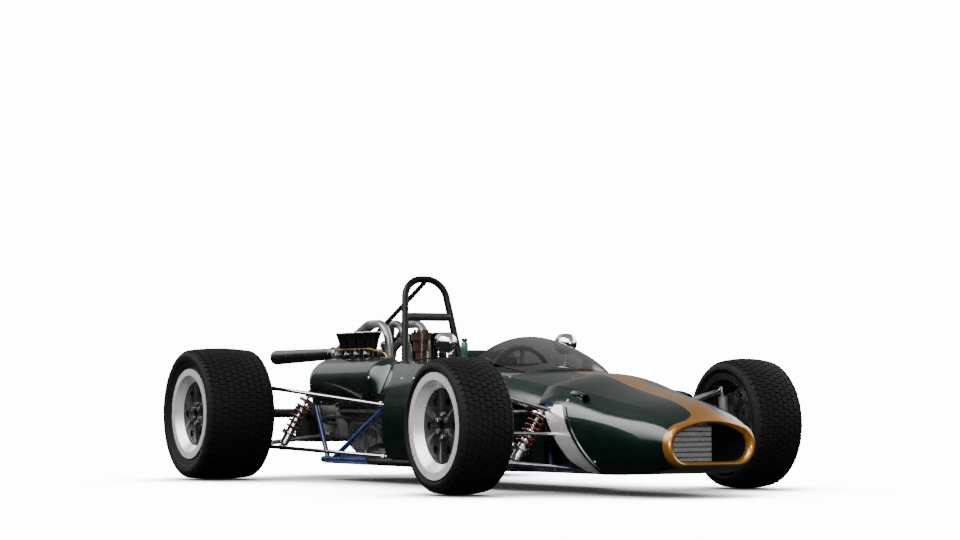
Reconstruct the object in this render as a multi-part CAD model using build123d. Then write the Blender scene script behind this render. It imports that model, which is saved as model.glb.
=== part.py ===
"""Open-wheel single-seat racing car of the late 1960s: tube frame, slim bodywork, V8 behind the driver.

Frame: millimetres, +Z up, origin on the floor at the middle of the car's box.
The nose points to -Y, so the driver's right hand is at -X.  "aft" is a distance behind the front axle.
"""
import math
import os
from typing import NamedTuple

from build123d import *

os.makedirs("parts", exist_ok=True)

# Overall layout
WHEELBASE = 2390.0
FRONT_OVERHANG = 775.0
REAR_OVERHANG = 545.0
FRONT_TRACK = 1368.0
REAR_TRACK = 1398.0
FRONT_AXLE_Y = FRONT_OVERHANG - (FRONT_OVERHANG + WHEELBASE + REAR_OVERHANG) / 2
FRONT_WHEEL_X = FRONT_TRACK / 2
REAR_WHEEL_X = REAR_TRACK / 2

# Fits
RUNNING_GAP = 0.4
SEAT_GAP = 0.3
SHEET = 2.0
SKIN = 5.0

# Wheels and tyres
FRONT_TYRE_RADIUS = 273.0
REAR_TYRE_RADIUS = 312.0
FRONT_TYRE_WIDTH = 238.0
REAR_TYRE_WIDTH = 340.0
RIM_FLANGE_RADIUS = 212.0
FRONT_RIM_WIDTH = 222.0
REAR_RIM_WIDTH = 302.0
RIM_DISH_DEPTH = 38.0
WHEEL_DISC_RADIUS = 149.0
WHEEL_DISC_THICKNESS = 13.0
WHEEL_SPOKES = 6
STUD_CIRCLE_RADIUS = 44.0
STUD_COUNT = 6

# Hubs, brakes and shafts
STUB_RADIUS = 17.0
HUB_RADIUS = 34.0
BRAKE_DISC_RADIUS = 132.0
BRAKE_DISC_THICKNESS = 11.0
CALIPER_GAP = 6.0
HALF_SHAFT_RADIUS = 22.0

# Steering
KINGPIN_TOP_X = FRONT_WHEEL_X - 118
KINGPIN_TOP_Z = 412.0
KINGPIN_LOW_X = FRONT_WHEEL_X - 84
KINGPIN_LOW_Z = 136.0
KINGPIN_RADIUS = 8.0
STEERING_ARM = 105.0
RACK_Z = 236.0
TRACK_ROD_RADIUS = 7.0
STEERING_WHEEL_RADIUS = 160.0
STEERING_WHEEL_AFT = 727.0
STEERING_WHEEL_Z = 452.0
COLUMN_RADIUS = 10.0

# Tubes
RAIL_RADIUS = 16.0
BRACE_RADIUS = 12.0
LINK_RADIUS = 9.0
HOOP_RADIUS = 16.0


def at(x, aft, z):
    """A point from its distance behind the front axle."""
    return Vector(x, FRONT_AXLE_Y + aft, z)


def rear(ahead):
    """The distance behind the front axle of a place measured forward from the rear axle."""
    return WHEELBASE - ahead


def mirrored(shape):
    """The same piece on the other side of the car."""
    return mirror(shape, about=Plane.YZ)


def tube(start, end, radius, end_radius=None):
    """A straight round bar between two points, tapered if a second radius is given."""
    along = Vector(end) - Vector(start)
    plane = Plane(origin=start, z_dir=along)
    if end_radius is None:
        return Solid.make_cylinder(radius, along.length, plane)
    return Solid.make_cone(radius, end_radius, along.length, plane)


def ring(centre, axis, outer, inner, length):
    """A round eye or collar centred on a point."""
    plane = Plane(origin=Vector(centre) - Vector(axis).normalized() * (length / 2), z_dir=axis)
    return Solid.make_cylinder(outer, length, plane) - Solid.make_cylinder(inner, length, plane)


def bent_tube(points, radius, bend):
    """A round bar along straight runs joined by tangent arcs, of one radius or one for each corner."""
    path = FilletPolyline(*points, radius=bend)
    return sweep(Plane(origin=path @ 0, z_dir=path % 0) * Circle(radius), path=path)


def spun(profile, centre, side):
    """A wheel piece turned about its axle from (outward offset, radius) points."""
    turned = [Vector(centre) + Vector(side * out, 0, radius) for out, radius in profile]
    face = make_face(Polyline(*turned, close=True))
    return revolve(face, axis=Axis(centre, (1, 0, 0)))


def both_sides(right):
    """A piece and its twin, as one list of solids."""
    return [*right.solids(), *mirrored(right).solids()]


PARTS = {}


def keep(name, *shapes):
    """Collects the solids of one node."""
    PARTS[name] = [solid for shape in shapes for solid in shape.solids()]


# Bodywork sections, from the lip of the nose to the tail, as one smooth form
class Station(NamedTuple):
    aft: float
    half_width: float
    floor_half: float
    z_floor: float
    z_wide: float
    shoulder_half: float
    z_shoulder: float
    z_crown: float


STATIONS = [
    Station(-750, 208, 140, 118, 200, 150, 281, 303),
    Station(-665, 232, 180, 98, 204, 160, 318, 350),
    Station(-505, 262, 212, 84, 210, 178, 352, 389),
    Station(-285, 292, 236, 80, 220, 205, 389, 431),
    Station(45, 318, 262, 80, 235, 242, 430, 478),
    Station(395, 338, 288, 80, 250, 268, 478, 520),
    Station(895, 345, 300, 80, 262, 274, 522, 553),
    Station(rear(865), 340, 300, 80, 285, 252, 536, 572),
    Station(rear(155), 308, 270, 80, 330, 238, 528, 564),
]
LIP = STATIONS[0]
LIP_DEPTH = 25.0
LIP_WIDTH = 40.0
LIP_HEIGHT = 20.0
NOSE_SEAM_AFT = STATIONS[4].aft
WIDEST_AFT = STATIONS[6].aft
SURROUND_END_AFT = rear(865)
TAIL_AFT = rear(165)
SHOULDER_SEAM_Z = 360.0
FLOOR_Z = STATIONS[4].z_floor


class Arc(NamedTuple):
    x: float
    z: float
    radius: float


def circle_through(a, b, c):
    """The circle through three points of a cross section."""
    (ax, az), (bx, bz), (cx, cz) = a, b, c
    d = 2 * (ax * (bz - cz) + bx * (cz - az) + cx * (az - bz))
    aa, bb, cc = ax * ax + az * az, bx * bx + bz * bz, cx * cx + cz * cz
    x = (aa * (bz - cz) + bb * (cz - az) + cc * (az - bz)) / d
    z = (aa * (cx - bx) + bb * (ax - cx) + cc * (bx - ax)) / d
    return Arc(x, z, math.hypot(ax - x, az - z))


def side_arc(s, grow=0.0):
    arc = circle_through((s.floor_half, s.z_floor), (s.half_width, s.z_wide), (s.shoulder_half, s.z_shoulder))
    return arc._replace(radius=arc.radius + grow)


def top_arc(s, grow=0.0):
    arc = circle_through((s.shoulder_half, s.z_shoulder), (0, s.z_crown), (-s.shoulder_half, s.z_shoulder))
    return arc._replace(radius=arc.radius + grow)


def side_at(arc, z):
    return arc.x + math.sqrt(arc.radius**2 - (z - arc.z)**2), z


def top_at(arc, x):
    return x, arc.z + math.sqrt(arc.radius**2 - (x - arc.x)**2)


def shoulder_of(side, top):
    """Where the side and top arcs cross, on the left of the car."""
    dx, dz = side.x - top.x, side.z - top.z
    gap = math.hypot(dx, dz)
    along = (top.radius**2 - side.radius**2 + gap * gap) / (2 * gap)
    off = math.sqrt(top.radius**2 - along**2)
    ux, uz = dx / gap, dz / gap
    crossings = [(top.x + along * ux + k * off * uz, top.z + along * uz - k * off * ux) for k in (1, -1)]
    return max(crossings)


def outline(aft, arcs, points):
    """A closed face across the car: points joined by arcs where one is named, else by lines."""
    edges = []
    for arc, p, q in zip(arcs, points, [*points[1:], points[0]]):
        start, end = at(p[0], aft, p[1]), at(q[0], aft, q[1])
        if arc is None:
            edges.append(Line(start, end))
            continue
        mx, mz = (p[0] + q[0]) / 2 - arc.x, (p[1] + q[1]) / 2 - arc.z
        k = arc.radius / math.hypot(mx, mz)
        edges.append(ThreePointArc(start, at(arc.x + k * mx, aft, arc.z + k * mz), end))
    return make_face(edges)


def flipped(arc):
    return arc._replace(x=-arc.x)


def other(point):
    return -point[0], point[1]


def full_section(s, grow=0.0, z_low=None):
    """A filled section: flat floor, bowed sides, arched top."""
    side, top = side_arc(s, grow), top_arc(s, grow)
    low = side_at(side, s.z_floor - grow if z_low is None else z_low)
    edge = shoulder_of(side, top)
    return outline(s.aft, [None, side, top, flipped(side)], [other(low), low, edge, other(edge)])


def arch_section(s, z_low):
    """A skin-thick arch above a seam height."""
    side, top = side_arc(s), top_arc(s)
    side_in, top_in = side_arc(s, -SKIN), top_arc(s, -SKIN)
    low, low_in = side_at(side, z_low), side_at(side_in, z_low)
    edge, edge_in = shoulder_of(side, top), shoulder_of(side_in, top_in)
    points = [low, edge, other(edge), other(low), other(low_in), other(edge_in), edge_in, low_in]
    arcs = [side, top, flipped(side), None, flipped(side_in), top_in, side_in, None]
    return outline(s.aft, arcs, points)


def strip_section(s, z_low, z_high):
    """A skin-thick strip of the left side between two heights."""
    side, side_in = side_arc(s), side_arc(s, -SKIN)
    points = [side_at(side, z_low), side_at(side, z_high), side_at(side_in, z_high), side_at(side_in, z_low)]
    return outline(s.aft, [side, None, side_in, None], points)


def cover_section(s, z_low, x_in):
    """A skin-thick strip of the left side, turned over the shoulder as far as x_in."""
    side, top = side_arc(s), top_arc(s)
    side_in, top_in = side_arc(s, -SKIN), top_arc(s, -SKIN)
    points = [
        side_at(side, z_low), shoulder_of(side, top), top_at(top, x_in),
        top_at(top_in, x_in), shoulder_of(side_in, top_in), side_at(side_in, z_low),
    ]
    return outline(s.aft, [side, top, None, top_in, side_in, None], points)


def station(aft):
    """The section at any distance behind the front axle, between two rows of the table."""
    for low, high in zip(STATIONS, STATIONS[1:]):
        if low.aft <= aft <= high.aft:
            share = (aft - low.aft) / (high.aft - low.aft)
            return Station(*(a + share * (b - a) for a, b in zip(low, high)))
    raise ValueError(f"no bodywork at {aft}")


def lip_section(inset, ahead):
    """The intake outline, drawn in by a share of the lip's size."""
    dx, dz = LIP_WIDTH * inset, LIP_HEIGHT * inset
    drawn = LIP._replace(
        aft=LIP.aft - ahead * LIP_DEPTH, half_width=LIP.half_width - dx, floor_half=LIP.floor_half - dx,
        shoulder_half=LIP.shoulder_half - dx, z_floor=LIP.z_floor + dz, z_shoulder=LIP.z_shoulder - dz,
        z_crown=LIP.z_crown - dz,
    )
    return full_section(drawn)


def slab(x, aft, z):
    """A box from its (low, high) limits across, along and up the car."""
    size = [high - low for low, high in (x, aft, z)]
    middle = at(sum(x) / 2, sum(aft) / 2, sum(z) / 2)
    return Pos(middle) * Box(*size)


WIDE = (-600.0, 600.0)
NOSE_ROWS = STATIONS[:5]
TOP_ROWS = STATIONS[4:8]
BODY_CLEAR = loft([full_section(s, SEAT_GAP, SHOULDER_SEAM_Z - 20) for s in TOP_ROWS])

# Nose cone: one moulding with a rolled oval intake lip, cut away at the sides for the suspension
CUT_TOP_AFT = -115.0
CUT_LOW_AFT = -365.0
CUT_LOW_Z = 60.0
FORMER_WIDTH = 62.0
FORMER_INSET = SKIN + 0.5


def side_cut(shift=0.0):
    """The opening in the bodywork beside the front suspension, behind a slanting edge."""
    top, low = CUT_TOP_AFT + shift, CUT_LOW_AFT + shift
    edge = [
        at(-600, low, CUT_LOW_Z),
        at(-600, top, SHOULDER_SEAM_Z),
        at(-600, 700, SHOULDER_SEAM_Z),
        at(-600, 700, CUT_LOW_Z),
    ]
    return extrude(make_face(Polyline(*edge, close=True)), amount=1200, dir=(1, 0, 0))


def nose_cone():
    lip_outer = loft([lip_section(0, 0), lip_section(0.15, 0.65), lip_section(0.5, 1)])
    lip_inner = loft([lip_section(0.5, 1), lip_section(0.85, 0.65), lip_section(1, 0)])
    skin = loft([full_section(s) for s in NOSE_ROWS]) - loft([full_section(s, -SKIN) for s in NOSE_ROWS])
    return (lip_outer - lip_inner) + skin - side_cut()


def nose_former():
    """The bare metal hoop that the nose slides over, showing behind its slanting edge."""
    rows = NOSE_ROWS
    deep = FORMER_INSET + SHEET
    band = loft([full_section(s, -FORMER_INSET) for s in rows]) - loft([full_section(s, -deep) for s in rows])
    return (band & side_cut(-12)) - side_cut(FORMER_WIDTH)


# Cockpit surround: the upper body from the nose seam to the bulkhead behind the driver
COCKPIT_FRONT_AFT = 470.0
COCKPIT_REAR_AFT = rear(990)
COCKPIT_HALF = 236.0
COCKPIT_CORNER = 190.0
HOOP_NOTCH_AFT = rear(902)
HOOP_NOTCH_HALF = 200.0
SIDE_PANEL_REAR_AFT = rear(1025)
COVER_LOW_Z = 398.0


def cockpit_surround():
    arch = loft([arch_section(s, SHOULDER_SEAM_Z) for s in TOP_ROWS])
    length = COCKPIT_REAR_AFT - COCKPIT_FRONT_AFT
    hole = RectangleRounded(2 * COCKPIT_HALF, length, COCKPIT_CORNER)
    middle = at(0, (COCKPIT_FRONT_AFT + COCKPIT_REAR_AFT) / 2, SHOULDER_SEAM_Z + 60)
    body = arch - extrude(Pos(middle) * hole, amount=300)
    body -= slab((-HOOP_NOTCH_HALF, HOOP_NOTCH_HALF), (HOOP_NOTCH_AFT, SURROUND_END_AFT + 50), (480, 700))
    return body - slab(WIDE, (SIDE_PANEL_REAR_AFT, SURROUND_END_AFT + 50), (300, COVER_LOW_Z))


SIDE_PANEL_FRONT_AFT = 375.0
SIDE_PANEL_LOW_Z = FLOOR_Z + 34
RECESS_HALF = 216.0
RECESS_FRONT_AFT = 125.0
WALL = 6.0


def side_panel():
    """A lower side panel: bowed skin beside the driver, then a wall turned in beside the footwell."""
    low, high = SIDE_PANEL_LOW_Z, SHOULDER_SEAM_Z - SEAT_GAP
    rows = [station(aft) for aft in (SIDE_PANEL_FRONT_AFT, WIDEST_AFT, SIDE_PANEL_REAR_AFT)]
    skin = loft([strip_section(s, low, high) for s in rows])
    turn_x = side_at(side_arc(rows[0]), high)[0] - WALL
    back, front = SIDE_PANEL_FRONT_AFT, RECESS_FRONT_AFT
    plan = [
        (turn_x + WALL - 1, back + 6), (turn_x + WALL - 1, back - 30), (RECESS_HALF + WALL, back - 160),
        (RECESS_HALF + WALL, front), (RECESS_HALF, front), (RECESS_HALF, back - 164),
        (turn_x - 1, back - 34), (turn_x - 30, back + 6),
    ]
    wall = extrude(make_face(Polyline(*(at(x, aft, low) for x, aft in plan), close=True)), high - low, dir=(0, 0, 1))
    return skin + wall


COVER_INNER_X = 216.0


def engine_cover():
    """A rounded side cover over the cam box, open above for the intakes."""
    rows = [station(aft) for aft in (SURROUND_END_AFT, (SURROUND_END_AFT + TAIL_AFT) / 2, TAIL_AFT)]
    return loft([cover_section(s, COVER_LOW_Z, COVER_INNER_X) for s in rows])


# Windscreen: a raked wrap-round moulding that sits on the scuttle
class ScreenArch(NamedTuple):
    aft: float
    half: float
    z_side: float
    z_top: float


SCREEN_FOOT_Z = 420.0
SCREEN_THICKNESS = 4.0
SCREEN = [
    ScreenArch(165, 120, 450, 500),
    ScreenArch(395, 236, 508, 592),
    ScreenArch(615, 266, 552, 646),
]


def screen_arch(row, inset):
    half, z_side, z_top = row.half - inset, row.z_side - inset, row.z_top - inset
    side, foot = (half, z_side), (half, SCREEN_FOOT_Z)
    bow = circle_through(side, (0, z_top), other(side))
    return outline(row.aft, [None, None, bow, None], [other(foot), foot, side, other(side)])


def windscreen():
    inner = SCREEN_THICKNESS
    glazing = loft([screen_arch(row, 0) for row in SCREEN]) - loft([screen_arch(row, inner) for row in SCREEN])
    return (glazing - BODY_CLEAR).solids().sort_by(Axis.Z)[-1]


def undertray():
    """The flat aluminium belly pan below the frame."""
    plan = [(150, -330), (190, 160), (290, 480), (290, rear(290))]
    plan += [(-x, aft) for x, aft in reversed(plan)]
    return extrude(make_face(Polyline(*(at(x, aft, FLOOR_Z) for x, aft in plan), close=True)), SHEET, dir=(0, 0, -1))


# Tube frame: two lower and two upper rails with braces and cross tubes
LOWER_Z = FLOOR_Z + RAIL_RADIUS + SEAT_GAP
FRAME_REAR_AFT = rear(260)
COCKPIT_BAY = (560.0, rear(1040))
BAY_MIDDLE = sum(COCKPIT_BAY) / 2
BULKHEAD_AFT = -240.0
RADIATOR_REAR_AFT = -505.0
RADIATOR_STAY_Z = 150.0
RAIL_LOWER = [(268, FRAME_REAR_AFT, LOWER_Z), (268, 495, LOWER_Z), (172, 195, LOWER_Z), (148, -258, LOWER_Z)]
RAIL_UPPER = [
    (262, rear(105), 412), (283, rear(290), 374), (288, rear(910), 350),
    (284, 495, 330), (174, 195, 302), (150, -258, 290),
]
# Braces on each side: from (which rail, aft) to (which rail, aft), 0 lower and 1 upper
BRACES = [
    ((0, BULKHEAD_AFT), (1, BULKHEAD_AFT)),
    ((0, 160), (1, 160)),
    ((0, COCKPIT_BAY[0]), (1, COCKPIT_BAY[0])),
    ((0, COCKPIT_BAY[0] + 80), (1, BAY_MIDDLE + 5)),
    ((0, BAY_MIDDLE + 55), (1, COCKPIT_BAY[1] - 50)),
    ((0, COCKPIT_BAY[1]), (1, COCKPIT_BAY[1])),
    ((1, rear(970)), (0, rear(360))),
    ((0, rear(312)), (1, rear(140))),
]
# Cross tubes: (which rail, aft)
HOOP_FOOT_AFT = rear(912)
CROSS_TUBES = [(0, -208), (1, -208), (0, 600), (0, rear(1008)), (1, HOOP_FOOT_AFT), (0, rear(278))]


def rail_point(rail, aft):
    """The rail's centre line at a distance behind the front axle, on the left of the car."""
    rows = sorted((RAIL_LOWER, RAIL_UPPER)[rail], key=lambda row: row[1])
    for (x0, a0, z0), (x1, a1, z1) in zip(rows, rows[1:]):
        if a0 <= aft <= a1:
            share = (aft - a0) / (a1 - a0)
            return at(x0 + share * (x1 - x0), aft, z0 + share * (z1 - z0))
    raise ValueError(f"no rail at {aft}")


def rail(rows, radius=RAIL_RADIUS):
    return bent_tube([at(x, aft, z) for x, aft, z in rows], radius, 60)


RAILS = [rail(RAIL_LOWER), rail(RAIL_UPPER)]
RAILS_CLEAR = rail(RAIL_LOWER, RAIL_RADIUS + SEAT_GAP) + rail(RAIL_UPPER, RAIL_RADIUS + SEAT_GAP)


def coped(bar, where):
    """A bar cut to sit against other pieces: the longest stretch that is left."""
    return (bar - where).solids().sort_by(SortBy.VOLUME)[-1]


def brace_tubes():
    ends = [(rail_point(*first), rail_point(*second)) for first, second in BRACES]
    bars = [coped(tube(start, end, BRACE_RADIUS), RAILS_CLEAR) for start, end in ends]
    stay_x = rail_point(0, BULKHEAD_AFT).X
    stay_front = at(stay_x - 8, RADIATOR_REAR_AFT + SEAT_GAP, RADIATOR_STAY_Z)
    stay_back = at(stay_x, BULKHEAD_AFT - BRACE_RADIUS - SEAT_GAP, RADIATOR_STAY_Z)
    return [*bars, tube(stay_front, stay_back, 9)]


def cross_tubes():
    starts = [rail_point(*row) for row in CROSS_TUBES]
    both = RAILS_CLEAR + mirrored(RAILS_CLEAR)
    return [coped(tube(p, Vector(-p.X, p.Y, p.Z), BRACE_RADIUS), both) for p in starts]


# Roll hoop: leaning back, legs spread towards their feet, with one brace to the rear
HOOP_LEAN = 0.23
HOOP_FOOT_Z = 362.0
HOOP_TOP_Z = 932.0
HOOP_FOOT_HALF = 168.0
HOOP_SPREAD = 0.125
HEADREST_Z = HOOP_TOP_Z - 175
HEADREST_RADIUS = 23.0


def hoop_point(half, z):
    return at(half, HOOP_FOOT_AFT + (z - HOOP_FOOT_Z) * HOOP_LEAN, z)


def hoop_half(z):
    return HOOP_FOOT_HALF - (z - HOOP_FOOT_Z) * HOOP_SPREAD


def hoop_bow(radius):
    half = hoop_half(HOOP_TOP_Z)
    return bent_tube([
        hoop_point(-HOOP_FOOT_HALF, HOOP_FOOT_Z),
        hoop_point(-half, HOOP_TOP_Z),
        hoop_point(half, HOOP_TOP_Z),
        hoop_point(HOOP_FOOT_HALF, HOOP_FOOT_Z),
    ], radius, half * 0.98)


def roll_hoop():
    apex = hoop_point(0, HOOP_TOP_Z - HOOP_RADIUS)
    brace = bent_tube([apex, at(0, rear(290), 694), at(0, rear(194), 396)], 11, 60)
    foot = rail_point(1, HOOP_FOOT_AFT)
    return hoop_bow(HOOP_RADIUS) + brace - tube(foot, Vector(-foot.X, foot.Y, foot.Z), BRACE_RADIUS + SEAT_GAP)


def headrest():
    half = hoop_half(HEADREST_Z)
    roll = tube(hoop_point(-half, HEADREST_Z), hoop_point(half, HEADREST_Z), HEADREST_RADIUS)
    between = roll - hoop_bow(HOOP_RADIUS + SEAT_GAP)
    return between.solids().sort_by(SortBy.VOLUME)[-1]


# Mirrors: bullet housings on short stalks beside the cockpit
MIRROR_X = 300.0
MIRROR_AFT = 827.0
MIRROR_Z = 622.0
MIRROR_RADIUS = 44.0
MIRROR_LENGTH = 88.0


def door_mirror():
    glass = at(MIRROR_X, MIRROR_AFT + 26, MIRROR_Z)
    rim = Vector(0, 0, MIRROR_RADIUS)
    bend = Vector(0, -26, 0)
    tip = Vector(0, -MIRROR_LENGTH, 0)
    bulge = bend + (tip - bend) * 0.72 + rim * 0.69
    profile = make_face([
        Line(glass, glass + rim),
        Line(glass + rim, glass + rim + bend),
        ThreePointArc(glass + rim + bend, glass + bulge, glass + tip),
        Line(glass + tip, glass),
    ])
    housing = revolve(profile, axis=Axis(glass, (0, 1, 0)))
    stalk = tube(at(284, MIRROR_AFT - 10, 430), at(MIRROR_X, MIRROR_AFT - 4, MIRROR_Z - 30), 8)
    return housing + (stalk - BODY_CLEAR).solids().sort_by(Axis.Z)[-1]


# Seat: a reclined bucket on a foot block, with raised sides
SEAT_HALF = 176.0
SEAT_LINE = [(rear(1645), 172), (rear(1460), 128), (rear(1300), 128), (rear(1015), 515)]
SEAT_THICKNESS = 22.0
SEAT_WING = 58.0


def seat():
    under = [at(0, aft, z) for aft, z in SEAT_LINE]
    over = [p + Vector(0, 0, 1) * SEAT_THICKNESS for p in under[:2]]
    over += [under[2] + Vector(0, -8, SEAT_THICKNESS), under[3] + Vector(0, -SEAT_THICKNESS * 1.25, 0)]
    wing = [p + Vector(0, 0, SEAT_WING) for p in under[:2]]
    wing += [under[2] + Vector(0, -32, SEAT_WING), under[3] + Vector(0, -SEAT_WING * 1.3, -20)]
    pan = make_face(Polyline(*under, *reversed(over), close=True))
    flank = make_face(Polyline(*under, *reversed(wing), close=True))
    body = Pos(-SEAT_HALF, 0, 0) * extrude(pan, 2 * SEAT_HALF, dir=(1, 0, 0))
    for x in (-SEAT_HALF - 12, SEAT_HALF):
        body += Pos(x, 0, 0) * extrude(flank, 12, dir=(1, 0, 0))
    return body + slab((-110, 110), (rear(1460), rear(1330)), (FLOOR_Z, 132))


# Dashboard: a flat plate hung inside the scuttle, pierced for the steering column
DASH_AFT = 560.0
DASH_LOW_Z = 392.0
DASH_THICKNESS = 3.0
COLUMN_SLOPE = (STEERING_WHEEL_Z - RACK_Z) / (STEERING_WHEEL_AFT + STEERING_ARM)
COLUMN_AXIS = Vector(0, 1, COLUMN_SLOPE).normalized()
WHEEL_CENTRE = at(0, STEERING_WHEEL_AFT, STEERING_WHEEL_Z)
RACK_CENTRE = at(0, -STEERING_ARM, RACK_Z)


def dashboard():
    inside = loft([full_section(s, -SKIN - SEAT_GAP, SHOULDER_SEAM_Z) for s in TOP_ROWS])
    plate = inside & slab(WIDE, (DASH_AFT, DASH_AFT + DASH_THICKNESS), (DASH_LOW_Z, 700))
    return plate - tube(WHEEL_CENTRE - COLUMN_AXIS * 300, WHEEL_CENTRE, COLUMN_RADIUS + 6)


def steering_wheel():
    plane = Plane(origin=WHEEL_CENTRE, x_dir=(1, 0, 0), z_dir=COLUMN_AXIS)
    rim = plane * Torus(STEERING_WHEEL_RADIUS - 11, 11)
    hub = tube(WHEEL_CENTRE - COLUMN_AXIS * 30, WHEEL_CENTRE + COLUMN_AXIS * 4, 30)
    spokes = [plane * Rot(0, 0, turn) * Pos(80, 0, 0) * Box(150, 26, 4) for turn in (0, 180, 270)]
    column = tube(RACK_CENTRE + COLUMN_AXIS * 48, WHEEL_CENTRE - COLUMN_AXIS * 10, COLUMN_RADIUS)
    wheel = rim + hub + column
    for spoke in spokes:
        wheel += spoke
    return wheel


# Steering rack: housing on the front bulkhead, sliding bar with a cup at each end for the track rods
RACK_HOUSING_HALF = 158.0
RACK_BAR_RADIUS = 12.0
RACK_CUP_START = 203.0
RACK_CUP_LENGTH = 48.0
RACK_CUP_RADIUS = 24.0
ACROSS = Vector(1, 0, 0)


def rack_housing():
    half = ACROSS * RACK_HOUSING_HALF
    body = tube(RACK_CENTRE - half, RACK_CENTRE + half, 24)
    body += tube(RACK_CENTRE, RACK_CENTRE + COLUMN_AXIS * 76, 21)
    for x in (-148, 148):
        body += slab((x - 9, x + 9), (BULKHEAD_AFT + BRACE_RADIUS + SEAT_GAP, -STEERING_ARM), (RACK_Z - 9, RACK_Z + 9))
    body -= tube(RACK_CENTRE - half, RACK_CENTRE + half, RACK_BAR_RADIUS + RUNNING_GAP)
    return body - tube(RACK_CENTRE + COLUMN_AXIS * 46, RACK_CENTRE + COLUMN_AXIS * 80, COLUMN_RADIUS + RUNNING_GAP)


def rack_bar():
    reach = ACROSS * (RACK_CUP_START + 4)
    bar = tube(RACK_CENTRE - reach, RACK_CENTRE + reach, RACK_BAR_RADIUS)
    for side in (-1, 1):
        start = RACK_CENTRE + ACROSS * side * RACK_CUP_START
        end = start + ACROSS * side * RACK_CUP_LENGTH
        bar += tube(start, end, RACK_CUP_RADIUS) - tube(start + ACROSS * side * 6, end, RACK_CUP_RADIUS - 4)
    return bar


# Front uprights: swing on the kingpin, carry stub axle, caliper and steering arm
KINGPIN_TOP = at(KINGPIN_TOP_X, 0, KINGPIN_TOP_Z)
KINGPIN_LOW = at(KINGPIN_LOW_X, 0, KINGPIN_LOW_Z)
KINGPIN_AXIS = (KINGPIN_TOP - KINGPIN_LOW).normalized()
FRONT_CENTRE = at(FRONT_WHEEL_X, 0, FRONT_TYRE_RADIUS)
REAR_CENTRE = at(REAR_WHEEL_X, WHEELBASE, REAR_TYRE_RADIUS)
FRONT_DISC_X = FRONT_WHEEL_X - 56
REAR_DISC_X = REAR_WHEEL_X - 51
ARM_Z = 245.0
EYE_LENGTH = 16.0
EYE_RADIUS = 17.0


def kingpin_at(z):
    share = (z - KINGPIN_LOW_Z) / (KINGPIN_TOP_Z - KINGPIN_LOW_Z)
    return KINGPIN_LOW + (KINGPIN_TOP - KINGPIN_LOW) * share


ARM_END = kingpin_at(ARM_Z) - Vector(0, STEERING_ARM, 0)


def caliper(disc_x, axle, behind):
    """A brake caliper that straddles the disc, behind or ahead of the axle."""
    near, far = 78 * behind, 146 * behind
    centre = (near + far) / 2
    block = Pos(disc_x, axle.Y + centre, axle.Z) * Box(60, abs(far - near), 88)
    slot = BRAKE_DISC_THICKNESS / 2 + CALIPER_GAP
    x = Vector(disc_x - axle.X, 0, 0)
    return block - tube(axle + x - ACROSS * slot, axle + x + ACROSS * slot, BRAKE_DISC_RADIUS + CALIPER_GAP)


def front_upright():
    post = tube(kingpin_at(162), kingpin_at(386), 19)
    pins = tube(KINGPIN_LOW - KINGPIN_AXIS * 16, KINGPIN_TOP + KINGPIN_AXIS * 16, KINGPIN_RADIUS)
    root = kingpin_at(FRONT_TYRE_RADIUS)
    boss = tube(root, root + ACROSS * 26, 30)
    stub = tube(root, FRONT_CENTRE + ACROSS * 44, STUB_RADIUS)
    arm = tube(kingpin_at(ARM_Z), ARM_END - KINGPIN_AXIS * 0, 10)
    arm -= tube(ARM_END - KINGPIN_AXIS * 11, ARM_END + KINGPIN_AXIS * 30, 22)
    plate = tube(ARM_END - KINGPIN_AXIS * 20, ARM_END - KINGPIN_AXIS * 11, 13)
    web = tube(kingpin_at(ARM_Z) - KINGPIN_AXIS * 15, ARM_END - KINGPIN_AXIS * 15, 6)
    pin = tube(ARM_END - KINGPIN_AXIS * 20, ARM_END + KINGPIN_AXIS * 12, 6)
    bracket = slab((FRONT_WHEEL_X - 104, FRONT_WHEEL_X - 77), (0, 100), (FRONT_TYRE_RADIUS - 16, FRONT_TYRE_RADIUS + 16))
    body = post + pins + boss + stub + plate + web + pin + bracket
    return body + caliper(FRONT_DISC_X, FRONT_CENTRE, 1)


def track_rod():
    eye = ring(ARM_END, KINGPIN_AXIS, 13, 6 + RUNNING_GAP, 14)
    inner_end = at(RACK_CUP_START + 20, -STEERING_ARM, RACK_Z)
    outward = (ARM_END - inner_end).normalized()
    return eye + tube(inner_end, ARM_END - outward * 11, TRACK_ROD_RADIUS)


# Front links: wishbones from the kingpin ends to the frame rails
UPPER_LEGS_AFT = (-70.0, 88.0)
LOWER_LEGS_AFT = (-140.0, 100.0)
DAMPER_FOOT_X = 440.0


def wishbone(pivot, which, legs_aft, brace_x=None):
    arm = Solid.make_cylinder(EYE_RADIUS, EYE_LENGTH, Plane(origin=pivot - KINGPIN_AXIS * 8, z_dir=KINGPIN_AXIS))
    ends = [rail_point(which, aft) for aft in legs_aft]
    for end in ends:
        arm += coped(tube(pivot, end, LINK_RADIUS), RAILS_CLEAR)
    if brace_x is not None:
        spots = [pivot + (end - pivot) * ((pivot.X - brace_x) / (pivot.X - end.X)) for end in ends]
        arm += tube(*spots, LINK_RADIUS)
    bore = KINGPIN_RADIUS + RUNNING_GAP
    arm -= tube(pivot - KINGPIN_AXIS * 30, pivot + KINGPIN_AXIS * 30, bore)
    clear = tube(kingpin_at(162 - 3), kingpin_at(386 + 3), 19 + 3)
    return arm - clear


# Dampers with coil springs: (upper eye, lower eye, spring from, spring to) along each unit
FRONT_DAMPER_TOP = at(300, 0, 334)
REAR_DAMPER_TOP = at(262, rear(84), 398)
REAR_DAMPER_FOOT = at(404, rear(84), 152)
SPRING_RADIUS = 31.0
SPRING_WIRE = 5.0
SPRING_TURNS = 6
SEAT_RADIUS = 37.0
DAMPER_EYE_HALF = 13.0


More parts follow.
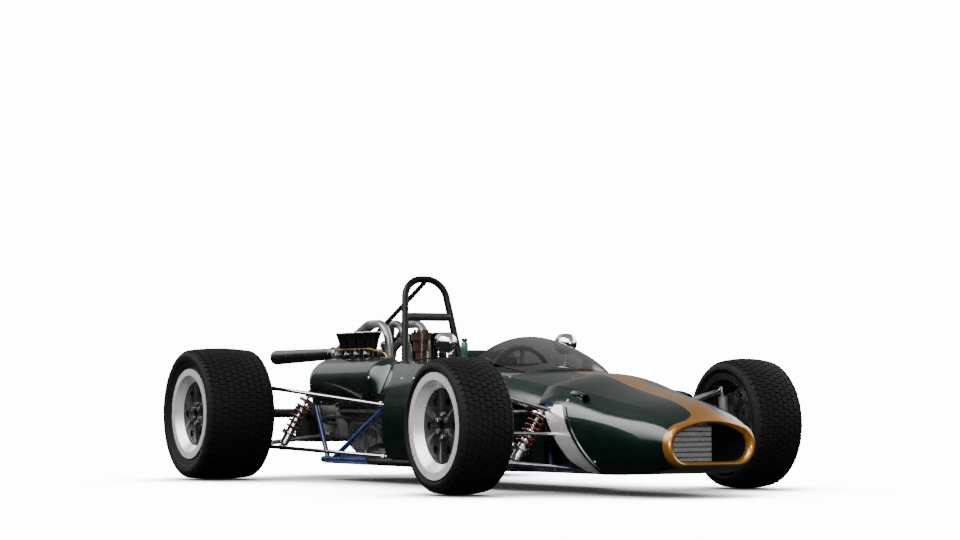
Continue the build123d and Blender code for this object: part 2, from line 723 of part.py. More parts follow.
def lower_front_foot():
    pivot = KINGPIN_LOW
    ends = [rail_point(0, aft) for aft in LOWER_LEGS_AFT]
    spots = [pivot + (end - pivot) * ((pivot.X - DAMPER_FOOT_X) / (pivot.X - end.X)) for end in ends]
    return (spots[0] + spots[1]) * 0.5


def damper(top, foot):
    """A telescopic damper with eyes and two spring seats."""
    axis = (top - foot).normalized()
    length = (top - foot).length
    body = tube(foot + axis * 16, foot + axis * length * 0.6, 21) + tube(foot, top, 8)
    body += tube(foot + axis * length * 0.24, foot + axis * (length * 0.24 + 6), SEAT_RADIUS)
    body += tube(top - axis * 32, top - axis * 26, SEAT_RADIUS)
    along = Vector(0, 1, 0)
    for eye in (top, foot):
        body += tube(eye - along * DAMPER_EYE_HALF, eye + along * DAMPER_EYE_HALF, 15)
    return body - tube(foot - along * 40, foot + along * 40, LINK_RADIUS + SEAT_GAP)


def coil(top, foot):
    axis = (top - foot).normalized()
    length = (top - foot).length
    low = length * 0.24 + 6 + SPRING_WIRE + SEAT_GAP
    high = length - 32 - SPRING_WIRE - SEAT_GAP
    path = Helix((high - low) / SPRING_TURNS, high - low, SPRING_RADIUS, center=foot + axis * low, direction=axis)
    return sweep(Plane(origin=path @ 0, z_dir=path % 0) * Circle(SPRING_WIRE), path=path)


def damper_outrigger(which, aft, top):
    """A short tube from the frame rail out to a damper's upper eye."""
    bar = tube(rail_point(which, aft), top, 10)
    return coped(coped(bar, RAILS_CLEAR), tube(top - Vector(0, 20, 0), top + Vector(0, 20, 0), 15 + SEAT_GAP))


def rear_damper_pin():
    """A stub on the end of the upper rail that holds the rear damper's upper eye."""
    face = REAR_DAMPER_TOP - Vector(0, DAMPER_EYE_HALF + SEAT_GAP, -4)
    return coped(tube(face - Vector(0, 30, 0), face, 8), RAILS_CLEAR)


def front_anti_roll_bar(wishbones):
    bend = at(396, 108, 326)
    half = tube(at(0, 108, 326), bend, 8) + Pos(bend) * Sphere(8)
    pivot, end = KINGPIN_LOW, rail_point(0, LOWER_LEGS_AFT[1])
    foot = pivot + (end - pivot) * ((pivot.X - 396) / (pivot.X - end.X))
    link = coped(tube(bend, foot, 6), wishbones)
    return half + link


# Wheels: (outward offset, radius) outlines for rim, tyre and hub, turned about the axle
def rim_profile(half):
    face = half - RIM_DISH_DEPTH
    back = face - WHEEL_DISC_THICKNESS
    seat = RIM_FLANGE_RADIUS - 20
    well = RIM_FLANGE_RADIUS - 32
    return [
        (half, RIM_FLANGE_RADIUS), (half - 8, RIM_FLANGE_RADIUS), (half - 12, seat), (half - 46, seat),
        (half - 60, well), (-half + 60, well), (-half + 46, seat), (-half + 12, seat),
        (-half + 8, RIM_FLANGE_RADIUS), (-half, RIM_FLANGE_RADIUS), (-half, seat - 8), (-half + 50, seat - 8),
        (-half + 64, well - 8), (back - 8, well - 8), (back, WHEEL_DISC_RADIUS - 14), (back, 20), (face, 20),
        (face, WHEEL_DISC_RADIUS), (half - 4, RIM_FLANGE_RADIUS - 30), (half, RIM_FLANGE_RADIUS - 30),
    ]


def road_wheel(centre, half):
    wheel = spun(rim_profile(half), centre, 1)
    face = half - RIM_DISH_DEPTH
    for k in range(WHEEL_SPOKES):
        turn = Rot(360 / WHEEL_SPOKES * (k + 0.5), 0, 0)
        hole = Pos(centre) * turn * Pos(face, 0, 108) * Rot(0, 90, 0) * Cylinder(17, 60)
        wheel -= hole
    for k in range(STUD_COUNT):
        turn = Rot(360 / STUD_COUNT * k, 0, 0)
        wheel += Pos(centre) * turn * Pos(face + 5, 0, STUD_CIRCLE_RADIUS) * Rot(0, 90, 0) * Cylinder(8, 14)
    return wheel


def tyre_face(centre, width, radius, rim_half):
    """Half of the tyre's outline is drawn, then mirrored: tread, shoulder, sidewall, bead."""
    seat = RIM_FLANGE_RADIUS - 20
    bead = rim_half - 12
    shoulder = width / 2 - 24
    outer = [(0, radius), (shoulder, radius - 9), (width / 2, radius - 44), (bead + 4, RIM_FLANGE_RADIUS + 1)]
    inner = [(bead - 1, seat), (bead - 22, seat), (width / 2 - 16, radius - 44), (shoulder - 4, radius - 22)]

    def put(row, side):
        return centre + Vector(side * row[0], 0, row[1])

    edges = []
    for side in (1, -1):
        edges += [
            ThreePointArc(put(outer[0], side), put((shoulder / 2, radius - 2.2), side), put(outer[1], side)),
            ThreePointArc(put(outer[1], side), put((width / 2 - 5, radius - 24), side), put(outer[2], side)),
            Line(put(outer[2], side), put(outer[3], side)),
            Line(put(outer[3], side), put(inner[0], side)),
            Line(put(inner[0], side), put(inner[1], side)),
            Line(put(inner[1], side), put(inner[2], side)),
            Line(put(inner[2], side), put(inner[3], side)),
        ]
    edges.append(Line(put(inner[3], 1), put(inner[3], -1)))
    return make_face(edges)


def tyre(centre, width, radius, rim_half):
    return revolve(tyre_face(centre, width, radius, rim_half), axis=Axis(centre, (1, 0, 0)))


def front_hub():
    face = FRONT_RIM_WIDTH / 2 - RIM_DISH_DEPTH - WHEEL_DISC_THICKNESS
    disc = FRONT_DISC_X - FRONT_CENTRE.X
    half = BRAKE_DISC_THICKNESS / 2
    bore = STUB_RADIUS + RUNNING_GAP
    return spun([
        (face, bore), (face, 66), (face - 10, 66), (face - 12, HUB_RADIUS), (disc + half + 4, HUB_RADIUS),
        (disc + half, BRAKE_DISC_RADIUS), (disc - half, BRAKE_DISC_RADIUS), (disc - half, bore),
    ], FRONT_CENTRE, 1)


REAR_UPRIGHT_X = REAR_WHEEL_X - 103
SHAFT_JOINT_RADIUS = 44.0


def rear_hub():
    """Hub, brake disc and half shaft out to the gearbox flange, which all turn with the wheel."""
    face = REAR_RIM_WIDTH / 2 - RIM_DISH_DEPTH - WHEEL_DISC_THICKNESS
    disc = REAR_DISC_X - REAR_CENTRE.X
    half = BRAKE_DISC_THICKNESS / 2
    inner = 176.0 - REAR_CENTRE.X
    joint = SHAFT_JOINT_RADIUS
    return spun([
        (face, 0), (face, 66), (face - 10, 66), (face - 12, HUB_RADIUS), (disc + half + 4, HUB_RADIUS),
        (disc + half, BRAKE_DISC_RADIUS), (disc - half, BRAKE_DISC_RADIUS), (disc - half - 3, HUB_RADIUS),
        (-142, HUB_RADIUS), (-146, joint), (-196, joint), (-206, HALF_SHAFT_RADIUS),
        (inner + 62, HALF_SHAFT_RADIUS), (inner + 52, joint), (inner, joint), (inner, 0),
    ], REAR_CENTRE, 1)


REAR_TOP = at(REAR_WHEEL_X - 154, WHEELBASE - 14, 448)
REAR_LOW = at(REAR_WHEEL_X - 171, WHEELBASE, 160)
TOP_BAR = Vector(0, 36, 0)
TOP_BAR_RADIUS = 12.0
LOW_BAR = Vector(0, 78, 0)
LOW_BAR_RADIUS = 13.0


def rear_upright():
    """A casting round the rear hub with arms up and down for the links, and the caliper."""
    middle = Vector(REAR_UPRIGHT_X, REAR_CENTRE.Y, REAR_CENTRE.Z)
    body = tube(middle - ACROSS * 30, middle + ACROSS * 30, 60)
    body += tube(middle + Vector(-10, 0, 0), REAR_TOP, 26, 15)
    body += tube(middle + Vector(-4, 0, 0), REAR_LOW, 26, 15)
    body += tube(REAR_TOP - TOP_BAR, REAR_TOP + TOP_BAR, TOP_BAR_RADIUS)
    body += tube(REAR_LOW - LOW_BAR, REAR_LOW + LOW_BAR, LOW_BAR_RADIUS)
    body += slab((REAR_UPRIGHT_X - 16, REAR_UPRIGHT_X + 30), (WHEELBASE + 20, WHEELBASE + 100), (REAR_TYRE_RADIUS - 18, REAR_TYRE_RADIUS + 18))
    body += caliper(REAR_DISC_X, REAR_CENTRE, 1)
    body -= tube(middle - ACROSS * 60, middle + ACROSS * 60, HUB_RADIUS + RUNNING_GAP)
    return body - tube(middle - ACROSS * 120, middle - ACROSS * 33, SHAFT_JOINT_RADIUS + 5)


ROD_LIFT = Vector(7, 0, 22)


def radius_rods(upright):
    """Upper and lower rods that run from the bulkhead back to the rear upright."""
    upper = tube(rail_point(1, rear(1002)), REAR_TOP - TOP_BAR * 0.75, LINK_RADIUS)
    lower = tube(rail_point(0, rear(1005)) + ROD_LIFT, REAR_LOW - LOW_BAR * 0.9, LINK_RADIUS)
    return [coped(coped(bar, RAILS_CLEAR), upright) for bar in (upper, lower)]


GEARBOX_HALF = 98.0
LINK_EYE = 15.0
GEARBOX_PIVOT = at(GEARBOX_HALF + LINK_EYE + SEAT_GAP, WHEELBASE, 206)


def rear_links(upright):
    """A top link to the frame and a reversed lower wishbone to the gearbox, with the damper's pin."""
    top = coped(coped(tube(REAR_TOP + TOP_BAR * 0.7, rail_point(1, rear(140)), LINK_RADIUS), RAILS_CLEAR), upright)
    pair = tube(GEARBOX_PIVOT - Vector(0, 22, 0), GEARBOX_PIVOT + Vector(0, 22, 0), LINK_EYE)
    for side in (-1, 1):
        pair += tube(REAR_LOW + LOW_BAR * 0.6 * side, GEARBOX_PIVOT, LINK_RADIUS)
    spot = GEARBOX_PIVOT + (REAR_LOW - LOW_BAR * 0.6 - GEARBOX_PIVOT) * 0.7
    pin = Vector(REAR_DAMPER_FOOT.X, spot.Y, REAR_DAMPER_FOOT.Z)
    pair += tube(pin + Vector(0, 6, 0), REAR_DAMPER_FOOT - Vector(0, 16, 0), LINK_RADIUS)
    return [top, coped(pair, tube(REAR_LOW - LOW_BAR, REAR_LOW + LOW_BAR, LOW_BAR_RADIUS + SEAT_GAP))]


# Engine: vee block, two heads with cam covers, eight intakes, exhausts out of the vee
ENGINE_FRONT_AFT = rear(800)
ENGINE_LENGTH = 520.0
ENGINE_REAR_AFT = ENGINE_FRONT_AFT + ENGINE_LENGTH
CRANK_Z = 205.0
ENGINE_FEET_AFT = (ENGINE_FRONT_AFT + 58, ENGINE_FRONT_AFT + 410)
DECK = 235.0
BANK_HALF = 60.0
HEAD_HEIGHT = 66.0
COVER_HEIGHT = 46.0
BLOCK_SIDE = 128.0
BLOCK_RIBS = 5
RIB_HEIGHT = 10.0
INTAKE_PITCH = 100.0
INTAKE_AFT = [ENGINE_FRONT_AFT + 180 + k * INTAKE_PITCH for k in range(4)]
INTAKE_X = 186.0
INTAKE_TOP_Z = 690.0
INTAKE_MOUTH = 44.0
INTAKE_THROAT = 22.0


def bank_point(along, across):
    """A point of the left cylinder bank: distance from the crank along the bore, then outwards."""
    k = math.sqrt(0.5)
    return (along * k + across * k, CRANK_Z + along * k - across * k)


def engine_prism(points, inset=0.0):
    face = make_face(Polyline(*(at(x, ENGINE_FRONT_AFT + inset, z) for x, z in points), close=True))
    return extrude(face, ENGINE_LENGTH - 2 * inset, dir=(0, 1, 0))


def side_ribs():
    """Upright ribs along the crankcase sides, with crossed ribs in the middle bays."""
    pitch = (ENGINE_LENGTH - 60) / (BLOCK_RIBS - 1)
    first = ENGINE_FRONT_AFT + 30
    across = 2 * (BLOCK_SIDE + RIB_HEIGHT)
    ribs = [Pos(at(0, first + k * pitch, 190)) * Box(across, 14, 100) for k in range(BLOCK_RIBS)]
    for k in (1, 2):
        for lean in (-1, 1):
            ribs.append(Pos(at(0, first + (k + 0.5) * pitch, 190)) * Rot(lean * 48, 0, 0) * Box(across - 6, 11, 124))
    return ribs


def engine_block():
    right = [
        (98, 112), (BLOCK_SIDE, 150), (BLOCK_SIDE, 236),
        bank_point(DECK, BANK_HALF), bank_point(DECK, -BANK_HALF), (40, 300),
    ]
    block = engine_prism(right + [other(point) for point in reversed(right)])
    for rib in side_ribs():
        block += rib
    reach = RAIL_LOWER[0][0] - RAIL_RADIUS - SEAT_GAP
    for aft in ENGINE_FEET_AFT:
        block += slab((-reach, reach), (aft - 22, aft + 22), (LOWER_Z + 1, LOWER_Z + 21))
    return block


def cylinder_head():
    low, high, top = DECK + SEAT_GAP, DECK + HEAD_HEIGHT, DECK + HEAD_HEIGHT + COVER_HEIGHT
    head = engine_prism([bank_point(low, -56), bank_point(low, 56), bank_point(high, 56), bank_point(high, -56)], 6)
    cover = engine_prism([
        bank_point(high, -50), bank_point(high, 50), bank_point(top - 14, 50), bank_point(top, 34),
        bank_point(top, -34), bank_point(top - 14, -50)], 12)
    return head + cover


def intake(aft, head):
    profile = [
        at(INTAKE_X, aft, 440), at(INTAKE_X + INTAKE_THROAT, aft, 440), at(INTAKE_X + INTAKE_THROAT, aft, 610),
        at(INTAKE_X + 30, aft, 655), at(INTAKE_X + INTAKE_MOUTH, aft, INTAKE_TOP_Z),
        at(INTAKE_X + INTAKE_MOUTH - 6, aft, INTAKE_TOP_Z), at(INTAKE_X + 26, aft, 655),
        at(INTAKE_X + INTAKE_THROAT - 4, aft, 610), at(INTAKE_X + INTAKE_THROAT - 4, aft, 600), at(INTAKE_X, aft, 600),
    ]
    funnel = revolve(make_face(Polyline(*profile, close=True)), axis=Axis(at(INTAKE_X, aft, 0), (0, 0, 1)))
    return coped(funnel, head)


class Primary(NamedTuple):
    port: int
    lean: float
    x: float
    z: float
    crest: float
    bend: float


# Exhaust primaries: port, offset aft, distance from the middle, height, length of the crest, bend at its front
PRIMARIES = [
    Primary(0, 2, 100, 733, 215, 115),
    Primary(1, 20, 46, 735, 150, 115),
    Primary(2, 0, 104, 655, 90, 60),
    Primary(3, 0, 50, 640, 60, 40),
]
PRIMARY_RADIUS = 19.0
PORT_X = 150.0
PORT_Z = 420.0
TAILPIPE_X = 150.0
COLLECTOR = at(TAILPIPE_X, rear(130), 597)
TAILPIPE_TIP = at(TAILPIPE_X, WHEELBASE + REAR_OVERHANG, 589)


def exhaust(head):
    """Four primaries out of the vee, arched back into one megaphone tailpipe."""
    pipe = tube(COLLECTOR, TAILPIPE_TIP, 27, 37) + Pos(COLLECTOR) * Sphere(34)
    pipe -= tube(at(TAILPIPE_X, rear(-110), 589), at(TAILPIPE_X, rear(-710), 589), 20, 40)
    for row in PRIMARIES:
        aft = INTAKE_AFT[row.port]
        start = at(PORT_X, aft, PORT_Z)
        knee = start + Vector(row.x - PORT_X, 0, PORT_X - row.x)
        crest = at(row.x, aft + row.lean, row.z)
        path = [start, knee, crest, crest + Vector(0, row.crest, 0), COLLECTOR]
        pipe += bent_tube(path, PRIMARY_RADIUS, [34, row.bend, 40])
    return coped(pipe, head)


# Pipes and hoses beside the engine: points as (x, ahead of the rear axle, z) on the left of the car
SILL_PIPE = [
    (302, rear(440), 98), (302, 815, 98), (292, 770, 142), (210, 740, 165), (BLOCK_SIDE + SEAT_GAP, 740, 165),
]
SILL_PIPE_RADIUS = 13.0
WATER_RAIL = [(203, 745, 348), (225, 730, 326), (225, 325, 326), (203, 310, 348)]
WATER_RAIL_RADIUS = 8.0
HOSES = [
    [(BLOCK_SIDE + SEAT_GAP, 718, 222), (190, 718, 252), (200, 640, 284), (200, 186, 298), (196, 80, 285),
     (150, 45, 262), (GEARBOX_HALF + SEAT_GAP, 45, 262)],
    [(BLOCK_SIDE + SEAT_GAP, 688, 200), (186, 682, 232), (200, 620, 262), (200, 430, 268), (184, 372, 226),
     (BLOCK_SIDE + SEAT_GAP, 366, 200)],
]
HOSE_RADIUS = 7.0
FUEL_LINE_RADIUS = 4.0
FUEL_LINE_X = INTAKE_X + INTAKE_THROAT + FUEL_LINE_RADIUS + 0.8
FUEL_LINE = [(196, 812, 548), (206, 786, 590), (FUEL_LINE_X, 640, 612), (FUEL_LINE_X, 306, 612)]


def pipe_run(points, radius, bend):
    return bent_tube([at(x, rear(ahead), z) for x, ahead, z in points], radius, bend)


def water_pipes(head):
    """A pipe along each sill to the block, and the coolant rail under each head."""
    return [pipe_run(SILL_PIPE, SILL_PIPE_RADIUS, 24), coped(pipe_run(WATER_RAIL, WATER_RAIL_RADIUS, 12), head)]


def fuel_line(intakes):
    line = pipe_run(FUEL_LINE, FUEL_LINE_RADIUS, 20)
    for intake_pipe in intakes:
        line = coped(line, intake_pipe)
    return line


# Gearbox: bell housing, main case and tail, with output flanges for the half shafts
CASE_FRONT_AFT = rear(176)
CASE_REAR_AFT = rear(-130)
TANK_REAR_AFT = rear(-348)


def gearbox():
    bell_front = at(0, ENGINE_REAR_AFT + SEAT_GAP, 262)
    bell = loft([
        Plane(bell_front, x_dir=(1, 0, 0), z_dir=(0, 1, 0)) * RectangleRounded(300, 260, 60),
        Plane(at(0, CASE_FRONT_AFT + 1, 285), x_dir=(1, 0, 0), z_dir=(0, 1, 0)) * RectangleRounded(210, 210, 50),
    ])
    case = slab((-GEARBOX_HALF, GEARBOX_HALF), (CASE_FRONT_AFT, CASE_REAR_AFT), (176, 396))
    case = fillet(case.edges().filter_by(Axis.Y), 26)
    flanges = tube(at(-174, WHEELBASE, REAR_TYRE_RADIUS), at(174, WHEELBASE, REAR_TYRE_RADIUS), 46)
    return bell + case + flanges


def oil_tank():
    tank = slab((-150, 150), (CASE_REAR_AFT + SEAT_GAP, TANK_REAR_AFT), (170, 348))
    return fillet(tank.edges().filter_by(Axis.Z), 34)


IGNITION_AFT = ENGINE_FRONT_AFT + 50
TOWERS = 8


def ignition_unit():
    body = tube(at(0, IGNITION_AFT, 300 + SEAT_GAP), at(0, IGNITION_AFT, 600), 26)
    body += tube(at(0, IGNITION_AFT, 600), at(0, IGNITION_AFT, 656), 36)
    body += tube(at(0, IGNITION_AFT, 650), at(0, IGNITION_AFT, 688), 46)
    for k in range(TOWERS):
        turn = 2 * math.pi * k / TOWERS
        body += Pos(at(30 * math.cos(turn), IGNITION_AFT + 30 * math.sin(turn), 692)) * Cylinder(6, 16)
    return body


def radiator():
    core = slab((-172, 172), (RADIATOR_REAR_AFT - 55, RADIATOR_REAR_AFT), (84, 338))
    inside = loft([full_section(s, -SKIN - SEAT_GAP) for s in NOSE_ROWS])
    return core & inside


BLOCK = engine_block()
FRONT_HALF = FRONT_RIM_WIDTH / 2
REAR_HALF = REAR_RIM_WIDTH / 2

for name, shape in {
    "nose_cone": nose_cone(),
    "nose_former": nose_former(),
    "cockpit_surround": cockpit_surround(),
    "windscreen": windscreen(),
    "undertray": undertray(),
    "roll_hoop": roll_hoop(),
    "headrest": headrest(),
    "seat": seat(),
    "dashboard": dashboard(),
    "radiator": radiator(),
    "steering_wheel": steering_wheel(),
    "rack_housing": rack_housing(),
    "rack_bar": rack_bar(),
    "engine_block": BLOCK,
    "gearbox": gearbox(),
    "oil_tank": oil_tank(),
    "ignition_unit": ignition_unit(),
}.items():
    keep(name, shape)

HEAD = cylinder_head()
INTAKES = [intake(aft, HEAD) for aft in INTAKE_AFT]
LEFT_UPRIGHT = rear_upright()
UPPER_ARM = wishbone(KINGPIN_TOP, 1, UPPER_LEGS_AFT)
LOWER_ARM = wishbone(KINGPIN_LOW, 0, LOWER_LEGS_AFT, DAMPER_FOOT_X)
FRONT_FOOT = lower_front_foot()
UNITS = [(FRONT_DAMPER_TOP, FRONT_FOOT), (REAR_DAMPER_TOP, REAR_DAMPER_FOOT)]
OUTRIGGERS = [damper_outrigger(1, 0, FRONT_DAMPER_TOP), rear_damper_pin()]

for name, lefts in {
    "frame_rails": RAILS,
    "frame_braces": brace_tubes(),
    "lower_side_panels": [side_panel()],
    "engine_side_covers": [engine_cover()],
    "mirrors": [door_mirror()],
    "front_wishbones": [UPPER_ARM, LOWER_ARM],
    "dampers": [damper(*unit) for unit in UNITS],
    "springs": [coil(*unit) for unit in UNITS],
    "damper_outriggers": OUTRIGGERS,
    "cylinder_heads": [HEAD],
    "intake_trumpets": INTAKES,
    "exhaust_pipes": [exhaust(HEAD)],
    "water_pipes": water_pipes(HEAD),
    "engine_hoses": [coped(pipe_run(points, HOSE_RADIUS, 16), BLOCK) for points in HOSES],
    "fuel_lines": [fuel_line(INTAKES)],
    "rear_uprights": [LEFT_UPRIGHT],
    "radius_rods": radius_rods(LEFT_UPRIGHT),
    "rear_links": rear_links(LEFT_UPRIGHT),
}.items():
    keep(name, *(solid for left in lefts for solid in both_sides(left)))

keep("frame_cross_tubes", *cross_tubes())
half_bar = front_anti_roll_bar(LOWER_ARM)
keep("front_anti_roll_bar", half_bar + mirrored(half_bar))

for name, left in {
    "upright_front": front_upright(),
    "track_rod": track_rod(),
    "hub_front": front_hub(),
    "wheel_front": road_wheel(FRONT_CENTRE, FRONT_HALF),
    "tyre_front": tyre(FRONT_CENTRE, FRONT_TYRE_WIDTH, FRONT_TYRE_RADIUS, FRONT_HALF),
    "hub_rear": rear_hub(),
    "wheel_rear": road_wheel(REAR_CENTRE, REAR_HALF),
    "tyre_rear": tyre(REAR_CENTRE, REAR_TYRE_WIDTH, REAR_TYRE_RADIUS, REAR_HALF),
}.items():
    keep(f"{name}_left", left)
    keep(f"{name}_right", mirrored(left))

for name, solids in PARTS.items():
    export_step(Compound(children=solids), f"parts/{name}.step")
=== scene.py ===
import math

import bmesh
import bpy
from mathutils import Matrix, Vector
from mathutils.bvhtree import BVHTree


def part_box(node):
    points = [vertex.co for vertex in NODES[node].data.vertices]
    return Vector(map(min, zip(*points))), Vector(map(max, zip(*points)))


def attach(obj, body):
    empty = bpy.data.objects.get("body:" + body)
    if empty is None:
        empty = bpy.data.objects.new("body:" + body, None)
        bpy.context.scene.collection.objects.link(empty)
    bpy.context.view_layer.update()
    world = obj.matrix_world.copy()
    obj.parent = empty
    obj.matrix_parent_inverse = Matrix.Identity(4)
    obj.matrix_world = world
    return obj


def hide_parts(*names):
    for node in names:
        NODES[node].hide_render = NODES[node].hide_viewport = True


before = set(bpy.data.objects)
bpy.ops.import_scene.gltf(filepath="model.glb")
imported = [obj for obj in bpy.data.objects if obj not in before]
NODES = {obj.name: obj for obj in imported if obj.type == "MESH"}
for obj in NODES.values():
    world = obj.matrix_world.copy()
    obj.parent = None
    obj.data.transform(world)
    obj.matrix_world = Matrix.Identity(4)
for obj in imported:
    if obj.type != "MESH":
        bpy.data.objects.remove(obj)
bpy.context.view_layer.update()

# Studio: a white seamless floor in a dark room, seen by a long lens low off the car's right front.
# Bright panels, mirrored by gloss paint, fill the far side, hang high on both sides and stand at both ends.
# The floor glows, darkened by a painted shadow only where the car stands close over it, and takes no part in
# the reflections.
SCENE = bpy.context.scene
BACKDROP_WHITE = 14.0
ROOM_DARK = 0.02
SOFT_FILL = 0.24
FILL_RISE = (-0.05, 0.25)
PANELS = [  # the light of each, then (axis, from, to) ramps on the direction that fade it in
    (0.28, [("X", -0.32, -0.29), ("Z", -0.01, 0.03)]),
    (0.85, [("X", -0.32, -0.29), ("X", 0.30, 0.10), ("Z", -0.01, 0.03), ("Z", 0.62, 0.52)]),
    (7.5, [("X", -0.40, -0.46), ("Y", 0.80, 0.72), ("Z", 0.18, 0.60)]),
    (4.0, [("X", 0.62, 0.74), ("Z", 0.12, 0.30)]),
    (2.5, [("Y", 0.93, 0.97), ("Z", 0.10, 0.20)]),
    (0.6, [("Y", -0.55, -0.70), ("Z", 0.10, 0.20)]),
]
LAMPS = [  # name, place, aim, size, power, and whether gloss mirrors it
    ("high_panel", (-2.5, -3.5, 5.5), (0, -0.3, 0.3), (3.0, 3.0), 120, True),
    ("front_spot", (-3.2, -7.0, 4.2), (0, -1.2, 0.3), (0.5, 0.5), 120, True),
    ("intake_lamp", (-1.6, -5.0, 0.5), (0, -1.6, 0.22), (0.6, 0.4), 60, True),
    ("left_panel", (5.5, 1.5, 3.6), (0, 0.2, 0.3), (3.0, 2.0), 260, False),
    ("rear_panel", (0.8, 6.5, 2.6), (0, 1.2, 0.4), (2.0, 1.5), 90, False),
]
FLOOR_HALF = 80.0
FLOOR_Z = -0.001
SHADE_REACH, SHADE_SAMPLES = 0.9, 12
FLOOR_SHADE = [(0.12, (0.002, 0.002, 0.002)), (0.92, (1, 1, 1)), (0.6, (0.12, 0.12, 0.12))]
CAMERA_AZIMUTH = math.radians(-28.68)
CAMERA_LIFT = math.radians(-2.83)
CAMERA_ROLL = -0.0033
CAMERA_PLACE = Vector((-5.4766, -10.0244, 0.3874))
CAMERA_LENS, CAMERA_SENSOR = 96.27, 36


def feed(tree, socket, value):
    """Links an input to another node's socket, or sets it to a value."""
    if isinstance(value, bpy.types.NodeSocket):
        tree.links.new(value, socket)
    else:
        socket.default_value = value


def node(tree, kind, *first, **named):
    """A new node with its first inputs in order, or inputs by name, where _ stands for a space."""
    made = tree.nodes.new(kind)
    for socket, value in zip(made.inputs, first):
        feed(tree, socket, value)
    for name, value in named.items():
        feed(tree, made.inputs[name.replace("_", " ")], value)
    return made


def calc(tree, operation, *values):
    """One sum of a node tree, on sockets or plain numbers."""
    made = node(tree, "ShaderNodeMath", *values)
    made.operation = operation
    return made.outputs[0]


def fade(tree, value, start, end, low=0.0, high=1.0):
    """A ramp from low to high while a value runs from start to end."""
    return node(tree, "ShaderNodeMapRange", Value=value, From_Min=start, From_Max=end, To_Min=low,
                To_Max=high).outputs["Result"]


def ramp(tree, value, *stops):
    """A colour ramp over a value, from (position, colour) stops: first, last, then any between."""
    made = node(tree, "ShaderNodeValToRGB", value)
    steps = made.color_ramp.elements
    for k, (position, colour) in enumerate(stops):
        step = steps[k] if k < 2 else steps.new(position)
        step.position = position
        step.color = (*colour, 1)
    return made


def studio_surround():
    world = bpy.data.worlds.new("studio_surround")
    SCENE.world = world
    world.use_nodes = True
    tree = world.node_tree
    tree.nodes.clear()
    way = node(tree, "ShaderNodeSeparateXYZ", node(tree, "ShaderNodeTexCoord").outputs["Generated"]).outputs
    light = ROOM_DARK
    for panel, ramps in PANELS:
        for axis, start, end in ramps:
            panel = calc(tree, "MULTIPLY", panel, fade(tree, way[axis], start, end))
        light = calc(tree, "MAXIMUM", panel, light)
    fill = fade(tree, way["Z"], *FILL_RISE, ROOM_DARK, SOFT_FILL)
    around, matt, behind = [node(tree, "ShaderNodeBackground", (1, 1, 1, 1), strength).outputs[0]
                            for strength in (light, fill, BACKDROP_WHITE)]
    path = node(tree, "ShaderNodeLightPath").outputs
    around = node(tree, "ShaderNodeMixShader", path["Is Diffuse Ray"], around, matt).outputs[0]
    seen = node(tree, "ShaderNodeMixShader", path["Is Camera Ray"], around, behind).outputs[0]
    node(tree, "ShaderNodeOutputWorld", seen)


def studio_floor():
    mesh = bpy.data.meshes.new("floor")
    corners = [(x * FLOOR_HALF, y * FLOOR_HALF, FLOOR_Z) for x, y in ((-1, -1), (1, -1), (1, 1), (-1, 1))]
    mesh.from_pydata(corners, [], [(0, 1, 2, 3)])
    floor = bpy.data.objects.new("floor", mesh)
    SCENE.collection.objects.link(floor)
    paint = bpy.data.materials.new("floor_paint")
    paint.use_nodes = True
    tree = paint.node_tree
    tree.nodes.clear()
    # The floor's shadow is painted: its glow dims where the car stands close above it.
    near = node(tree, "ShaderNodeAmbientOcclusion", Distance=SHADE_REACH)
    near.samples = SHADE_SAMPLES
    shade = ramp(tree, near.outputs["AO"], *FLOOR_SHADE).outputs["Color"]
    glow = node(tree, "ShaderNodeEmission", Color=shade, Strength=BACKDROP_WHITE)
    node(tree, "ShaderNodeOutputMaterial", glow.outputs[0])
    mesh.materials.append(paint)
    floor.visible_diffuse = False
    floor.visible_glossy = False
    floor.visible_transmission = False


def studio_lamp(name, where, aim, size, power, mirrored):
    lamp = bpy.data.lights.new(name, "AREA")
    lamp.shape = "RECTANGLE"
    lamp.size, lamp.size_y = size
    lamp.energy = power
    holder = bpy.data.objects.new(name, lamp)
    holder.location = where
    holder.rotation_euler = (Vector(aim) - Vector(where)).to_track_quat("-Z", "Y").to_euler()
    holder.visible_glossy = mirrored
    SCENE.collection.objects.link(holder)


def studio_camera():
    back = Vector((math.sin(CAMERA_AZIMUTH) * math.cos(CAMERA_LIFT),
                   -math.cos(CAMERA_AZIMUTH) * math.cos(CAMERA_LIFT), math.sin(CAMERA_LIFT)))
    right = Vector((math.cos(CAMERA_AZIMUTH), math.sin(CAMERA_AZIMUTH), 0))
    upward = back.cross(right)
    c, s = math.cos(CAMERA_ROLL), math.sin(CAMERA_ROLL)
    right, upward = right * c + upward * s, upward * c - right * s
    lens = bpy.data.cameras.new("camera")
    lens.lens = CAMERA_LENS
    lens.sensor_width = CAMERA_SENSOR
    camera = bpy.data.objects.new("camera", lens)
    rows = [(right[k], upward[k], back[k], CAMERA_PLACE[k]) for k in range(3)]
    camera.matrix_world = Matrix((*rows, (0, 0, 0, 1)))
    SCENE.collection.objects.link(camera)
    SCENE.camera = camera


studio_surround()
studio_floor()
for lamp_row in LAMPS:
    studio_lamp(*lamp_row)
studio_camera()


# Tube frame: round steel tubes brazed together at the joints and sprayed a strong blue.
# The paint is satin, a little uneven in tone, with a light orange-peel.
ORIGIN_AFT = 1080
TONE_EDGES, GLOSS_EDGES = (0.35, 0.65), (0.3, 0.7)
COAT_ROUGHNESS = 0.03
BUMP_DEPTH = 0.001


def place(x, aft, z):
    """A point in metres from millimetres: across, behind the front axle, above the floor."""
    return Vector((x / 1000, (aft - ORIGIN_AFT) / 1000, z / 1000))


